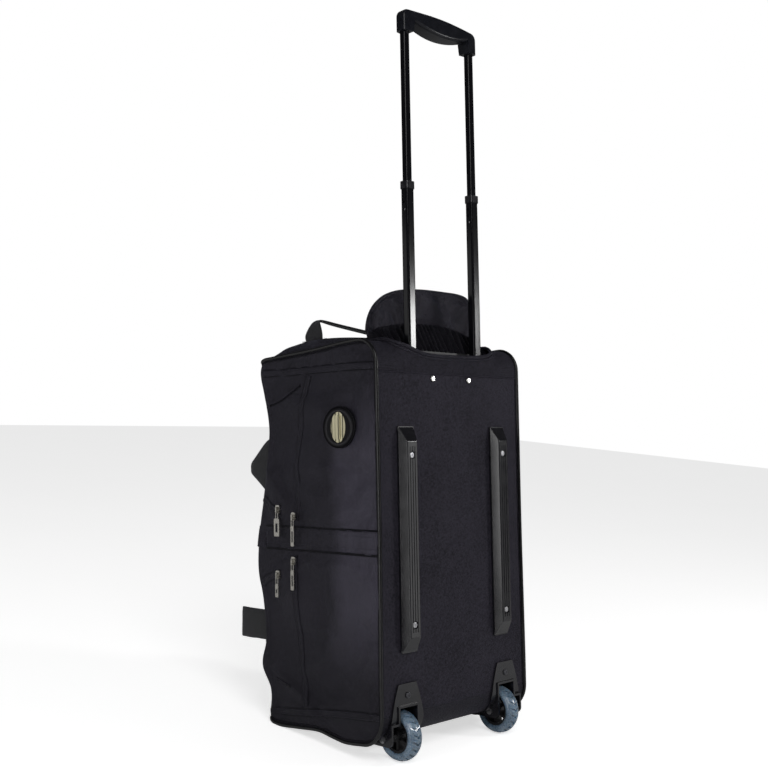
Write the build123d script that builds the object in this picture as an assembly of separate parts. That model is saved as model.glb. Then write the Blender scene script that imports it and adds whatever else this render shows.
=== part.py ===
from build123d import *
import os

# Wheeled duffel bag standing on its wheel end, trolley handle fully extended.
#
# Frame: +Z up along the bag, +X to the right when facing the back panel, +Y from the back panel
# towards the front. The origin is on the ground, midway between the wheels, in the back panel's plane.

# ---- bag body ----
BAG_WIDTH = 300.0
BAG_DEPTH = 250.0
BAG_BOTTOM = 30.0
BAG_TOP = 575.0
EDGE_RADIUS = 35.0
SKIN = 2.5
PIPING_RADIUS = 2.3
SEAM_GAP = 0.1
POCKET_SEAM_Z = 530.0
POCKET_LIP_Z = 556.0
POCKET_HALF_WIDTH = 108.0
POCKET_DEPTH = 58.0
BAND_LOW = 280.0
BAND_HIGH = 312.0
BAND_THICK = 0.9

# ---- main opening in the front panel ----
OPENING_HALF_WIDTH = 105.0
OPENING_LOW = 88.0
OPENING_HIGH = 535.0

# ---- stiffening board and inner wall ----
BOARD_THICK = 2.0
BOARD_HALF_WIDTH = 138.0
BOARD_LOW = 67.0
BOARD_HIGH = 538.0
BOARD_CORNER = 20.0
INNER_WALL_Y = 27.0
INNER_WALL_THICK = 1.5
INNER_WALL_LOW = 40.0
INNER_WALL_HIGH = 565.0

# ---- skid rails ----
RAIL_X = 97.0
RAIL_LOW = 146.0
RAIL_HIGH = 454.5
RAIL_WIDTH = 31.5
RAIL_HEIGHT = 14.5
RIDGE_WIDTH = 19.5
RAIL_END_RUN = 21.0
RAIL_GROOVE = 1.2
RAIL_GROOVE_SPACING = 4.6
RAIL_SCREW_INSET = 35.0

# ---- wheels and their housings ----
WHEEL_X = 103.0
WHEEL_RADIUS = 34.5
WHEEL_WIDTH = 23.0
AXLE_Y = 13.0
AXLE_RADIUS = 3.0
RUNNING_GAP = 0.05
RIM_RADIUS = 23.0
WELL_WIDTH = 33.0
WELL_WALL = 3.0
WELL_TOP = 74.5
WELL_FRONT = 51.0
HOLLOW_WIDTH = 14.0
HOLLOW_TOP = 52.0
HOLLOW_FRONT = 30.0
HOLLOW_CORNER = 12.0
HOUSING_LIP = 4.5
FLANGE = 2.5
HOUSING_LOW = 25.0
HOUSING_SCREW_Z = 90.0
HEAD_ROOM = 3.0
TREAD_BLOCKS = 22
SPOKES = 6

# ---- trolley tubes ----
TUBE_X = 69.3
TUBE_Y = 13.0
TUBE_WALL = 1.1
OUTER_TUBE = (18.6, 16.0)
MID_TUBE = (15.4, 12.8)
TOP_TUBE = (12.2, 9.8)
OUTER_LOW = 92.0
OUTER_HIGH = 554.0
MID_LOW = 506.0
MID_HIGH = 803.0
TOP_LOW = 753.0
TOP_HIGH = 1040.5
PLUG_LENGTH = 22.0
PIN_RADIUS = 2.0
ROD_RADIUS = 1.8
PIN_RISE = 11.0
TOP_PIN_Z = TOP_LOW + PIN_RISE
MID_PIN_Z = MID_LOW + PIN_RISE
BRACKET_THICK = 2.5
BRACKET_FRONT = 23.5
BRACKET_LOW = 512.0
BRACKET_HIGH = 548.0
TIE_LOW = 528.0
TIE_OVERHANG = 13.0
FOOT_LOW = 80.0
FOOT_HIGH = 104.0

# ---- trolley grip ----
GRIP_HALF = 79.0
SOCKET_INNER = 60.0
GRIP_LOW = 1024.0
GRIP_END_TOP = 1056.0
GRIP_CROWN = 1057.0
GRIP_SPLIT = 1045.0
GRIP_BELLY = 1030.0
GRIP_ROOT = 1040.0
GRIP_CORNER = 11.0
GRIP_SOFTNESS = 4.5
BUTTON_HALF = 22.0
BUTTON_DEPTH = 7.0
BUTTON_TOP = 1059.5
YOKE_LOW = 1046.0
YOKE_HIGH = 1052.0
SPRING_LOW = 1031.7
SPRING_RADIUS = 3.2
SPRING_WIRE = 0.45
SPRING_PITCH = 2.6
SPRING_HEIGHT = 13.4

# ---- sewn handles and zips ----
WEB_THICK = 3.0
CARRY_X = 130.0
CARRY_REACH = 336.0
CARRY_FEET = (161.0, 400.0)
CARRY_WEB = 45.0
CARRY_HINGE_Y = BAG_DEPTH + 3.7
CARRY_GRIP_X = (8.0, 31.0)
CARRY_GRIP_HALF = 66.0
GRAB_Y = (166.0, 203.0)
GRAB_FEET_X = (-100.0, 98.0)
FLAP_X = (-115.0, 125.0)
FLAP_Y = 60.0
FLAP_HALF_THICK = 2.5
FLAP_FOOT = 579.0
FLAP_TOP = 659.0
FLAP_CORNER = 42.0
LINER_HALF = 104.0
LINER_Y = (51.0, 56.0)
LINER_Z = (561.0, 611.0)

# ---- zips: paths as (y, z) on the side panel, pulls as (y, z, length, width) ----
ZIP_WIDTH = 7.0
ZIP_THICK = 1.2
ZIP_FACE_X = -BAG_WIDTH / 2 - 0.05
UPPER_ZIP = ((176.5, 326), (165, 487), (147, 534))
LOWER_ZIP = ((178, 270), (173, 132), (155, 55))
UPPER_ARCH = ((212, 338), (243, 351))
LOWER_ARCH = ((212, 243), (244, 232))
ZIP_PULLS = {
    "upper_pocket": (176, 328, 40, 7),
    "lower_pocket": (177, 264, 39, 7),
    "upper_arch": (212, 338, 37, 12),
    "lower_arch": (213, 242, 30, 7),
}
MAIN_ZIP_Z = 74.0
MAIN_TAB = (32, 8)
SLIDER_SIZE = (2.4, 9.0, 12.0)
SLIDER_X = ZIP_FACE_X - ZIP_THICK - 0.15
PIVOT_DROP = 2.8
PIVOT_X = SLIDER_X - 3.5

# ---- badge ----
BADGE_Y = 75.0
BADGE_Z = 455.0
BADGE_RADII = (33.0, 29.5)
BADGE_THICK = 3.0
PLATE_RADII = (15.0, 21.5)

# ---- screws and rivets ----
SCREW_HEAD = 4.2
SCREW_SHANK = 2.0
SCREW_LENGTH = 22.0
RIVET_X = 38.4
RIVET_Z = 522.6
RIVET_RADIUS = 4.4
PLATE_GAP = 0.1


def block(x_range, y_range, z_range):
    """Box between two corners."""
    low = [min(r) for r in (x_range, y_range, z_range)]
    high = [max(r) for r in (x_range, y_range, z_range)]
    size = [b - a for a, b in zip(low, high)]
    middle = [(a + b) / 2 for a, b in zip(low, high)]
    return Pos(*middle) * Box(*size)


def both_sides(shape):
    """The shape and its mirror image across the bag's middle plane, as separate solids."""
    return Compound(children=list(shape.solids()) + list(mirror(shape, Plane.YZ).solids()))


def rod(x, y, z, radius, length, direction):
    """Cylinder that starts at a point and runs along a direction."""
    start = Plane(origin=(x, y, z), z_dir=direction)
    return extrude(start * Circle(radius), length)


def side_outline(inset):
    """Side view of the bag in the YZ plane, drawn in by inset."""
    width = BAG_DEPTH - 2 * inset
    height = BAG_TOP - BAG_BOTTOM - 2 * inset
    middle = Pos(BAG_DEPTH / 2, (BAG_TOP + BAG_BOTTOM) / 2)
    return middle * RectangleRounded(width, height, EDGE_RADIUS - inset)


def side_slab(x_low, x_high, inset):
    """Slab with the bag's side outline between two widths."""
    return extrude(Plane.YZ.offset(x_low) * side_outline(inset), x_high - x_low)


# ---------------------------------------------------------------- wheel housings
def well_outline(grow):
    """Side view of the wheel well, open at the bottom and at the back."""
    low_y, high_y = -2 * WHEEL_RADIUS, WELL_FRONT + grow
    low_z, high_z = -WHEEL_RADIUS, WELL_TOP + grow
    centre = Pos((low_y + high_y) / 2, (low_z + high_z) / 2)
    return centre * RectangleRounded(high_y - low_y, high_z - low_z, WELL_FRONT / 2 + grow)


def side_hollow(grow):
    """Lower part of the wheel well, which opens out beside the wheel and shows its hub."""
    low_y, high_y = -2 * WHEEL_RADIUS, HOLLOW_FRONT + grow
    low_z, high_z = -WHEEL_RADIUS, HOLLOW_TOP + grow
    centre = Pos((low_y + high_y) / 2, (low_z + high_z) / 2)
    outline = centre * RectangleRounded(high_y - low_y, high_z - low_z, HOLLOW_CORNER + grow)
    reach = WELL_WIDTH / 2 + HOLLOW_WIDTH + grow
    return extrude(Plane.YZ.offset(-WHEEL_X - reach) * outline, reach)


def well_block(grow):
    """Space of the left wheel well, grown by a wall thickness."""
    half = WELL_WIDTH / 2 + grow
    well = extrude(Plane.YZ.offset(-WHEEL_X - half) * well_outline(grow), 2 * half)
    return well + side_hollow(grow)


def flange_plate():
    """Tapering flange that follows the bag's rounded lower edge."""
    top_half, low_half = 17.0, 31.0
    top, shoulder, foot = 106.0, 72.0, 10.0
    with BuildSketch(Plane.XZ.offset(-85)) as plate:
        with BuildLine():
            left = Spline([(-WHEEL_X - low_half, shoulder - 15), (-WHEEL_X - low_half + 4, shoulder + 4),
                           (-WHEEL_X - top_half, top)])
            Line(left @ 1, (-WHEEL_X + top_half, top))
            right = Spline([(-WHEEL_X + top_half, top), (-WHEEL_X + low_half - 4, shoulder + 4),
                            (-WHEEL_X + low_half, shoulder - 15)])
            Line(right @ 1, (-WHEEL_X + low_half, foot))
            Line((-WHEEL_X + low_half, foot), (-WHEEL_X - low_half - 12, foot))
            Line((-WHEEL_X - low_half - 12, foot), left @ 0)
        make_face()
    prism = extrude(plate.sketch, 100)
    shell = side_slab(-BAG_WIDTH / 2, 0, -FLANGE) - side_slab(-BAG_WIDTH / 2 - 1, 1, -PLATE_GAP)
    return prism & shell


def cheek_faces():
    """Outer face of each of the left housing's cheeks: side of the wheel, distance from its middle."""
    inner = WELL_WIDTH / 2 + WELL_WALL
    return ((-1, inner + HOLLOW_WIDTH), (1, inner))


def head_recesses():
    """Room for the left axle's riveted heads, outside the two cheeks."""
    return [rod(-WHEEL_X + side * start, AXLE_Y, WHEEL_RADIUS, AXLE_RADIUS + HEAD_ROOM, 5, (side, 0, 0))
            for side, start in cheek_faces()]


def wheel_housing():
    """Left housing: flange, two cheeks, well roof and the axle bores."""
    reach = WELL_WIDTH / 2 + HOLLOW_WIDTH + WELL_WALL + 1
    fork = block((-WHEEL_X - reach, -WHEEL_X + reach), (-HOUSING_LIP, WELL_FRONT + WELL_WALL),
                 (HOUSING_LOW, WELL_TOP + WELL_WALL))
    fork = fillet(fork.edges().filter_by(Axis.X).sort_by(Axis.Z)[:2], 9)
    housing = flange_plate() + (well_block(WELL_WALL) & fork)
    housing -= well_block(0)
    housing -= rod(-WHEEL_X - reach, AXLE_Y, WHEEL_RADIUS, AXLE_RADIUS + RUNNING_GAP, 2 * reach, (1, 0, 0))
    housing -= rod(-WHEEL_X, -FLANGE - 1, HOUSING_SCREW_Z, SCREW_SHANK + PLATE_GAP, FLANGE + 2, (0, 1, 0))
    return cut_all(housing, head_recesses())


# ---------------------------------------------------------------- screws and rivets
def screw(x, z, head_y):
    """Pan head screw that enters the back panel along +Y, with a cross recess."""
    head = rod(x, head_y - 2.2, z, SCREW_HEAD, 2.2, (0, 1, 0))
    head = fillet(head.edges().group_by(Axis.Y)[0], 1.2)
    slot = block((x - 2.4, x + 2.4), (head_y - 2.3, head_y - 1.2), (z - 0.4, z + 0.4))
    cross = slot + block((x - 0.4, x + 0.4), (head_y - 2.3, head_y - 1.2), (z - 2.4, z + 2.4))
    shank = rod(x, head_y, z, SCREW_SHANK, SCREW_LENGTH / 2 - head_y - 4.5, (0, 1, 0))
    return head + shank - cross


def rail_screw_heights():
    """Heights of the two screws in a rail."""
    return (RAIL_LOW + RAIL_SCREW_INSET + 3, RAIL_HIGH - RAIL_SCREW_INSET - 5)


def rail_screws():
    """Two recessed screws in each rail."""
    left = [screw(-RAIL_X, z, -RAIL_HEIGHT + 3) for z in rail_screw_heights()]
    return both_sides(Compound(children=left))


def housing_screws():
    """One screw through each housing flange."""
    return both_sides(screw(-WHEEL_X, HOUSING_SCREW_Z, -FLANGE))


def back_rivets():
    """Two domed rivets that hold the upper tube bracket."""
    dome = rod(-RIVET_X, -1.9, RIVET_Z, RIVET_RADIUS, 1.8, (0, 1, 0))
    dome = fillet(dome.edges().group_by(Axis.Y)[0], 1.5)
    shank = rod(-RIVET_X, -0.2, RIVET_Z, SCREW_SHANK, 9, (0, 1, 0))
    return both_sides(dome + shank)


def shank_holes(y_low, y_high):
    """Clearance holes for every screw and rivet that crosses the back of the bag."""
    places = [(RAIL_X, z) for z in rail_screw_heights()]
    places += [(WHEEL_X, HOUSING_SCREW_Z), (RIVET_X, RIVET_Z)]
    holes = [rod(side * x, y_low, z, SCREW_SHANK + PLATE_GAP, y_high - y_low, (0, 1, 0))
             for x, z in places for side in (-1, 1)]
    return holes


# ---------------------------------------------------------------- bag shell
def body_ring():
    """Band of fabric that runs round the bag between its two side panels."""
    half = BAG_WIDTH / 2 - 2 * SKIN
    return side_slab(-half, half, 0) - side_slab(-half, half, SKIN)


def wells(grow):
    """Both wheel wells, to cut through the bag's panels."""
    left = well_block(WELL_WALL + grow) & block((-150, 0), (-20, 60), (-10, 90))
    return [left, mirror(left, Plane.YZ)]


def cut_all(shape, tools):
    """Shape less every tool."""
    for tool in tools:
        shape = shape - tool
    return shape


def back_panel():
    """Flat back panel, up to the pocket seam."""
    lower_corner = BAG_BOTTOM + EDGE_RADIUS
    region = block((-BAG_WIDTH, BAG_WIDTH), (-1, EDGE_RADIUS), (lower_corner, POCKET_SEAM_Z - SEAM_GAP))
    return cut_all(body_ring() & region, wells(PLATE_GAP) + shank_holes(-1, SKIN + 1))


def handle_pocket_panel():
    """Yoke above the pocket seam, with the opening that the trolley handle comes out of."""
    region = block((-BAG_WIDTH, BAG_WIDTH), (-1, POCKET_DEPTH), (POCKET_SEAM_Z, BAG_TOP + 1))
    opening = block((-POCKET_HALF_WIDTH, POCKET_HALF_WIDTH), (-1, POCKET_DEPTH + 1),
                    (POCKET_SEAM_Z - 1, BAG_TOP + 1))
    lip = block((-POCKET_HALF_WIDTH, POCKET_HALF_WIDTH), (0, SKIN), (POCKET_SEAM_Z, POCKET_LIP_Z))
    return (body_ring() & region) - opening + lip


def top_end_panel():
    """Flat upper end of the bag."""
    region = block((-BAG_WIDTH, BAG_WIDTH), (POCKET_DEPTH + SEAM_GAP, BAG_DEPTH - EDGE_RADIUS - SEAM_GAP),
                   (BAG_TOP - EDGE_RADIUS, BAG_TOP + 1))
    return body_ring() & region


def bottom_end_panel():
    """Wheel end of the bag, cut round the wheel wells."""
    region = block((-BAG_WIDTH, BAG_WIDTH), (-1, BAG_DEPTH - EDGE_RADIUS - SEAM_GAP),
                   (0, BAG_BOTTOM + EDGE_RADIUS - SEAM_GAP))
    recesses = head_recesses()
    recesses += [mirror(recess, Plane.YZ) for recess in recesses]
    return cut_all(body_ring() & region, wells(PLATE_GAP) + recesses)


def front_panel():
    """Front panel with rounded ends and the main opening."""
    region = block((-BAG_WIDTH, BAG_WIDTH), (BAG_DEPTH - EDGE_RADIUS, BAG_DEPTH + 1), (0, BAG_TOP + 1))
    opening = block((-OPENING_HALF_WIDTH, OPENING_HALF_WIDTH), (BAG_DEPTH - 10, BAG_DEPTH + 1),
                    (OPENING_LOW, OPENING_HIGH))
    return (body_ring() & region) - opening


def main_flap():
    """Left half of the main opening's cover, up to the zip on the middle line."""
    z_range = (OPENING_LOW + 1, OPENING_HIGH - 1)
    flap = block((-OPENING_HALF_WIDTH + 1, -0.4), (BAG_DEPTH - SKIN, BAG_DEPTH), z_range)
    teeth = block((-ZIP_WIDTH / 2, -0.4), (BAG_DEPTH, BAG_DEPTH + ZIP_THICK), z_range)
    return flap + teeth


def side_panel():
    """Left side panel, inside the piping."""
    return side_slab(-BAG_WIDTH / 2, -BAG_WIDTH / 2 + SKIN, 2 * SKIN)


def edge_piping():
    """Piping cord round both side panels."""
    plane = Plane.YZ.offset(-BAG_WIDTH / 2 + SKIN)
    path = (plane * side_outline(SKIN)).faces()[0].outer_wire()
    cord = sweep((path ^ 0) * Circle(PIPING_RADIUS), path=path)
    return both_sides(cord)


def mid_bands():
    """Reinforcing band across each side panel."""
    left = block((-BAG_WIDTH / 2 - BAND_THICK, -BAG_WIDTH / 2 - 0.05), (2 * SKIN, BAG_DEPTH - 2 * SKIN),
                 (BAND_LOW, BAND_HIGH))
    return both_sides(left)


def pocket_linings():
    """Linings of the upper and lower side pockets, inside the left side panel."""
    x_range = (-BAG_WIDTH / 2 + SKIN + 0.3, -BAG_WIDTH / 2 + SKIN + 1.3)
    upper = block(x_range, (40, 205), (BAND_HIGH + 5, 545))
    lower = block(x_range, (56, 205), (50, BAND_LOW - 5))
    return Compound(children=[upper, lower])


def base_board():
    """Stiffening board behind the back panel."""
    y_low = SKIN + PLATE_GAP
    board = block((-BOARD_HALF_WIDTH, BOARD_HALF_WIDTH), (y_low, y_low + BOARD_THICK),
                  (BOARD_LOW, BOARD_HIGH))
    board = fillet(board.edges().filter_by(Axis.Y), BOARD_CORNER)
    return cut_all(board, wells(PLATE_GAP) + shank_holes(0, 10))


def inner_wall():
    """Wall between the trolley tubes and the main compartment."""
    wall = block((-BOARD_HALF_WIDTH, BOARD_HALF_WIDTH), (INNER_WALL_Y, INNER_WALL_Y + INNER_WALL_THICK),
                 (INNER_WALL_LOW, INNER_WALL_HIGH))
    return cut_all(wall, wells(PLATE_GAP))


# ---------------------------------------------------------------- skid rails
def skid_rail():
    """Left rail: tapered bar with a grooved ridge and recessed screw seats."""
    middle_z = (RAIL_LOW + RAIL_HIGH) / 2
    length = RAIL_HIGH - RAIL_LOW
    foot = Plane(origin=(-RAIL_X, -PLATE_GAP, middle_z), z_dir=(0, -1, 0), x_dir=(1, 0, 0))
    lip = extrude(foot * RectangleRounded(RAIL_WIDTH, length, 3), 2)
    base = foot.offset(2) * Rectangle(RAIL_WIDTH - 3, length - 3)
    ridge = foot.offset(RAIL_HEIGHT - PLATE_GAP) * Rectangle(RIDGE_WIDTH, length - 2 * RAIL_END_RUN)
    rail = lip + loft([base, ridge])
    ridge_edges = rail.faces().sort_by(Axis.Y)[0].edges()
    rail = fillet(ridge_edges, 1.6)
    groove_length = length - 2 * RAIL_END_RUN - 14
    for shift in (-RAIL_GROOVE_SPACING, 0, RAIL_GROOVE_SPACING):
        groove = Pos(-RAIL_X + shift, -RAIL_HEIGHT, middle_z) * Box(1.4, 2 * RAIL_GROOVE, groove_length)
        rail -= groove
    for z in rail_screw_heights():
        rail -= rod(-RAIL_X, -RAIL_HEIGHT - 1, z, SCREW_HEAD + 1, 4, (0, 1, 0))
        rail -= rod(-RAIL_X, -RAIL_HEIGHT - 1, z, SCREW_SHANK + PLATE_GAP, RAIL_HEIGHT + 2, (0, 1, 0))
    return rail


# ---------------------------------------------------------------- wheels
def tyre():
    """Left tyre: crowned ring with slanted tread grooves."""
    half = WHEEL_WIDTH / 2
    shoulder = WHEEL_RADIUS - 5
    with BuildSketch(Plane.XY) as section:
        with BuildLine():
            crown = ThreePointArc((-half + 2, shoulder + 2), (0, WHEEL_RADIUS), (half - 2, shoulder + 2))
            right = ThreePointArc(crown @ 1, (half, shoulder - 1), (half - 2, RIM_RADIUS))
            Line(right @ 1, (-half + 2, RIM_RADIUS))
            ThreePointArc((-half + 2, RIM_RADIUS), (-half, shoulder - 1), crown @ 0)
        make_face()
    ring = revolve(section.sketch, Axis.X)
    groove = Pos(half / 2, 0, WHEEL_RADIUS) * Rot(Z=28) * Box(half * 1.5, 2.4, 5)
    pair = groove + mirror(groove, Plane.YZ)
    for index in range(TREAD_BLOCKS):
        ring -= Rot(X=360 / TREAD_BLOCKS * index) * pair
    return Pos(-WHEEL_X, AXLE_Y, WHEEL_RADIUS) * ring


def hub():
    """Left hub: rim, boss and spokes in one moulding, bored for the axle."""
    half = WHEEL_WIDTH / 2 - 3
    inner_rim = RIM_RADIUS - 3.5
    boss = 8.0
    base = Plane.YZ.offset(-half)
    wheel = extrude(base * (Circle(RIM_RADIUS - 0.02) - Circle(inner_rim)), 2 * half)
    wheel += extrude(Plane.YZ.offset(-half - 2) * Circle(boss), 2 * half + 4)
    spoke = Pos(0, 0, (boss + inner_rim) / 2) * Box(half * 1.5, 4, inner_rim - boss + 3)
    for index in range(SPOKES):
        wheel += Rot(X=360 / SPOKES * index) * spoke
    wheel -= extrude(Plane.YZ.offset(-half - 3) * Circle(AXLE_RADIUS + RUNNING_GAP), 2 * half + 6)
    return Pos(-WHEEL_X, AXLE_Y, WHEEL_RADIUS) * wheel


def axles():
    """Riveted steel axle of each wheel."""
    ends = [(side, start + 2 * PLATE_GAP) for side, start in cheek_faces()]
    length = ends[0][1] + ends[1][1]
    pin = rod(-WHEEL_X - ends[0][1], AXLE_Y, WHEEL_RADIUS, AXLE_RADIUS, length, (1, 0, 0))
    for side, reach in ends:
        pin += rod(-WHEEL_X + side * reach, AXLE_Y, WHEEL_RADIUS, AXLE_RADIUS + 2, 1.5, (side, 0, 0))
    return both_sides(pin)


# ---------------------------------------------------------------- trolley
def tube(size, z_low, z_high):
    """Left rectangular tube with rounded corners."""
    width, depth = size
    plane = Plane.XY.offset(z_low)
    outer = extrude(plane * RectangleRounded(width, depth, 3), z_high - z_low)
    bore = RectangleRounded(width - 2 * TUBE_WALL, depth - 2 * TUBE_WALL, 3 - TUBE_WALL)
    return Pos(-TUBE_X, TUBE_Y, 0) * (outer - extrude(plane * bore, z_high - z_low))


def tube_core(size, gap, z_low, z_high):
    """Solid bar with a tube's outer section, grown or shrunk by a gap."""
    width, depth = size
    section = RectangleRounded(width + 2 * gap, depth + 2 * gap, 3 + gap)
    return Pos(-TUBE_X, TUBE_Y, 0) * extrude(Plane.XY.offset(z_low) * section, z_high - z_low)


def pin_hole(size, z):
    """Hole for a lock pin in the outward wall of a left tube."""
    return rod(-TUBE_X - size[0] / 2 - 1, TUBE_Y, z, PIN_RADIUS + 0.3, TUBE_WALL + 2, (1, 0, 0))


def mid_tubes():
    """Middle stage, with pin holes low down and latch holes near the top."""
    pair = []
    for side, holes in ((-1, 2), (1, 3)):
        stage = tube(MID_TUBE, MID_LOW, MID_HIGH) - pin_hole(MID_TUBE, MID_PIN_Z)
        for index in range(holes):
            stage -= pin_hole(MID_TUBE, TOP_PIN_Z + 10 * index)
        pair.append(stage if side < 0 else Pos(2 * TUBE_X, 0, 0) * stage)
    return Compound(children=[solid for stage in pair for solid in stage.solids()])


def top_tubes():
    """Inner stage that carries the grip."""
    stage = tube(TOP_TUBE, TOP_LOW, TOP_HIGH) - pin_hole(TOP_TUBE, TOP_PIN_Z)
    return both_tubes(stage)


def both_tubes(shape):
    """The left piece and a copy of it on the right tube."""
    return Compound(children=list(shape.solids()) + list((Pos(2 * TUBE_X, 0, 0) * shape).solids()))


def collars():
    """Plastic collar that closes the top of each middle tube."""
    height = 9.0
    rise = 1.6
    sleeve = tube_core(MID_TUBE, 1.3, MID_HIGH - height, MID_HIGH + rise)
    sleeve -= tube_core(MID_TUBE, 0.05, MID_HIGH - height, MID_HIGH + 0.05)
    sleeve -= tube_core(TOP_TUBE, 0.2, MID_HIGH, MID_HIGH + rise)
    return both_tubes(sleeve)


def lock_plugs(size, z_low):
    """Plug in the foot of a stage, bored for its sprung pin."""
    bore_gap = TUBE_WALL + 0.1
    plug = tube_core(size, -bore_gap, z_low, z_low + PLUG_LENGTH)
    half = size[0] / 2
    plug -= rod(-TUBE_X - half, TUBE_Y, z_low + PIN_RISE, PIN_RADIUS + RUNNING_GAP, half + 3, (1, 0, 0))
    return both_tubes(plug)


def lock_pins(size, z):
    """Pin at each foot plug, drawn in just clear of the next tube's wall."""
    half = size[0] / 2
    length = half - 1
    return both_tubes(rod(-TUBE_X - half, TUBE_Y, z, PIN_RADIUS, length, (1, 0, 0)))


def upper_bracket():
    """Bracket that ties the fixed tubes together at the top and takes the two rivets."""
    y_low = SKIN + BOARD_THICK + 2 * PLATE_GAP
    half = TUBE_X + TIE_OVERHANG
    plate = block((-TUBE_X, TUBE_X), (y_low, y_low + BRACKET_THICK), (BRACKET_LOW, BRACKET_HIGH))
    tie = block((-half, half), (y_low, BRACKET_FRONT), (TIE_LOW, BRACKET_HIGH))
    tie = fillet(tie.edges().filter_by(Axis.Z), 2)
    inner = TUBE_X - TIE_OVERHANG
    middle = block((-inner, inner), (y_low + BRACKET_THICK, BRACKET_FRONT + 1), (BRACKET_LOW, OUTER_HIGH))
    socket = tube_core(OUTER_TUBE, PLATE_GAP, BRACKET_LOW - 1, OUTER_HIGH)
    tools = [middle, socket, Pos(2 * TUBE_X, 0, 0) * socket]
    return cut_all(plate + tie, tools + shank_holes(0, 12))


def foot_bracket():
    """Bracket that holds the feet of the fixed tubes."""
    y_low = SKIN + BOARD_THICK + 2 * PLATE_GAP
    half = TUBE_X + TIE_OVERHANG
    bar = block((-half, half), (y_low, BRACKET_FRONT), (FOOT_LOW, FOOT_HIGH))
    bar = fillet(bar.edges().filter_by(Axis.Z), 2)
    socket = tube_core(OUTER_TUBE, PLATE_GAP, OUTER_LOW - PLATE_GAP, FOOT_HIGH + 1)
    return bar - socket - Pos(2 * TUBE_X, 0, 0) * socket


# ---------------------------------------------------------------- grip
def grip_body():
    """Whole grip before it is split: end sockets, crowned top and rounded belly."""
    with BuildSketch(Plane.XZ.offset(-TUBE_Y - 20)) as front:
        with BuildLine():
            left = Line((-GRIP_HALF, GRIP_LOW), (-GRIP_HALF, GRIP_END_TOP - GRIP_CORNER))
            bend = RadiusArc(left @ 1, (-GRIP_HALF + GRIP_CORNER, GRIP_END_TOP), GRIP_CORNER)
            crown = Spline(bend @ 1, (0, GRIP_CROWN), (GRIP_HALF - GRIP_CORNER, GRIP_END_TOP),
                           tangents=[(1, 0), (1, 0)])
            far = RadiusArc(crown @ 1, (GRIP_HALF, GRIP_END_TOP - GRIP_CORNER), GRIP_CORNER)
            right = Line(far @ 1, (GRIP_HALF, GRIP_LOW))
            foot = Line(right @ 1, (SOCKET_INNER, GRIP_LOW))
            rise = Line(foot @ 1, (SOCKET_INNER - 2, GRIP_ROOT))
            under = ThreePointArc(rise @ 1, (0, GRIP_BELLY), (-SOCKET_INNER + 2, GRIP_ROOT))
            fall = Line(under @ 1, (-SOCKET_INNER, GRIP_LOW))
            Line(fall @ 1, left @ 0)
        make_face()
    with BuildSketch(Plane.XY.offset(GRIP_LOW - 5)) as plan:
        with BuildLine():
            half = GRIP_HALF + 1
            near = ThreePointArc((-half, TUBE_Y - 8), (0, TUBE_Y - 14), (half, TUBE_Y - 8))
            end = Line(near @ 1, (half, TUBE_Y + 8))
            back = ThreePointArc(end @ 1, (0, TUBE_Y + 14), (-half, TUBE_Y + 8))
            Line(back @ 1, near @ 0)
        make_face()
    solid = extrude(front.sketch, 40) & extrude(plan.sketch, 60)
    return solid


def rounded_grip():
    """Grip with every long edge softened."""
    solid = grip_body()
    lower = [edge for edge in solid.edges() if edge.center().Z < GRIP_ROOT and edge.length > GRIP_HALF]
    solid = fillet(lower, GRIP_SOFTNESS)
    outer = [edge for edge in solid.edges() if abs(edge.center().Y - TUBE_Y) > 5]
    upper = [edge for edge in outer if edge.center().Z > GRIP_SPLIT and edge.length > GRIP_CORNER]
    return fillet(upper, GRIP_SOFTNESS)


def grip_cavity():
    """Space for the tubes, the push yoke, the spring and the button."""
    passage = block((-TUBE_X - 5, TUBE_X + 5), (TUBE_Y - 4, TUBE_Y + 4), (YOKE_LOW - 5, YOKE_HIGH))
    pit = rod(0, TUBE_Y, SPRING_LOW - 0.7, SPRING_RADIUS + 1.4, 12, (0, 0, 1))
    half_x, half_y = BUTTON_HALF + 0.3, BUTTON_DEPTH + 0.3
    slot = block((-half_x, half_x), (TUBE_Y - half_y, TUBE_Y + half_y), (YOKE_LOW + 1.5, BUTTON_TOP + 10))
    socket = tube_core(TOP_TUBE, RUNNING_GAP, GRIP_LOW - 1, TOP_HIGH + 0.5)
    return [passage, pit, slot, socket, Pos(2 * TUBE_X, 0, 0) * socket]


def grip_half(is_upper):
    """Upper or lower shell of the grip."""
    z_range = (GRIP_SPLIT + 0.05, BUTTON_TOP + 10) if is_upper else (GRIP_LOW - 10, GRIP_SPLIT)
    region = block((-GRIP_HALF - 10, GRIP_HALF + 10), (TUBE_Y - 40, TUBE_Y + 40), z_range)
    return cut_all(rounded_grip() & region, grip_cavity())


def release_button():
    """Push button set into the top of the grip."""
    key = block((-BUTTON_HALF, BUTTON_HALF), (TUBE_Y - BUTTON_DEPTH, TUBE_Y + BUTTON_DEPTH),
                (YOKE_HIGH, BUTTON_TOP))
    key = fillet(key.edges().filter_by(Axis.Z), 3)
    return fillet(key.faces().sort_by(Axis.Z)[-1].edges(), 1.5)


def push_rods():
    """Yoke under the button with a rod down each top tube."""
    yoke = block((-TUBE_X - 2, TUBE_X + 2), (TUBE_Y - 3, TUBE_Y + 3), (YOKE_LOW, YOKE_HIGH))
    start = YOKE_LOW + 1
    reach = start - (TOP_LOW + PLUG_LENGTH + 6)
    rods = [rod(side * TUBE_X, TUBE_Y, start, ROD_RADIUS, reach, (0, 0, -1)) for side in (-1, 1)]
    return yoke + rods[0] + rods[1]


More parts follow.
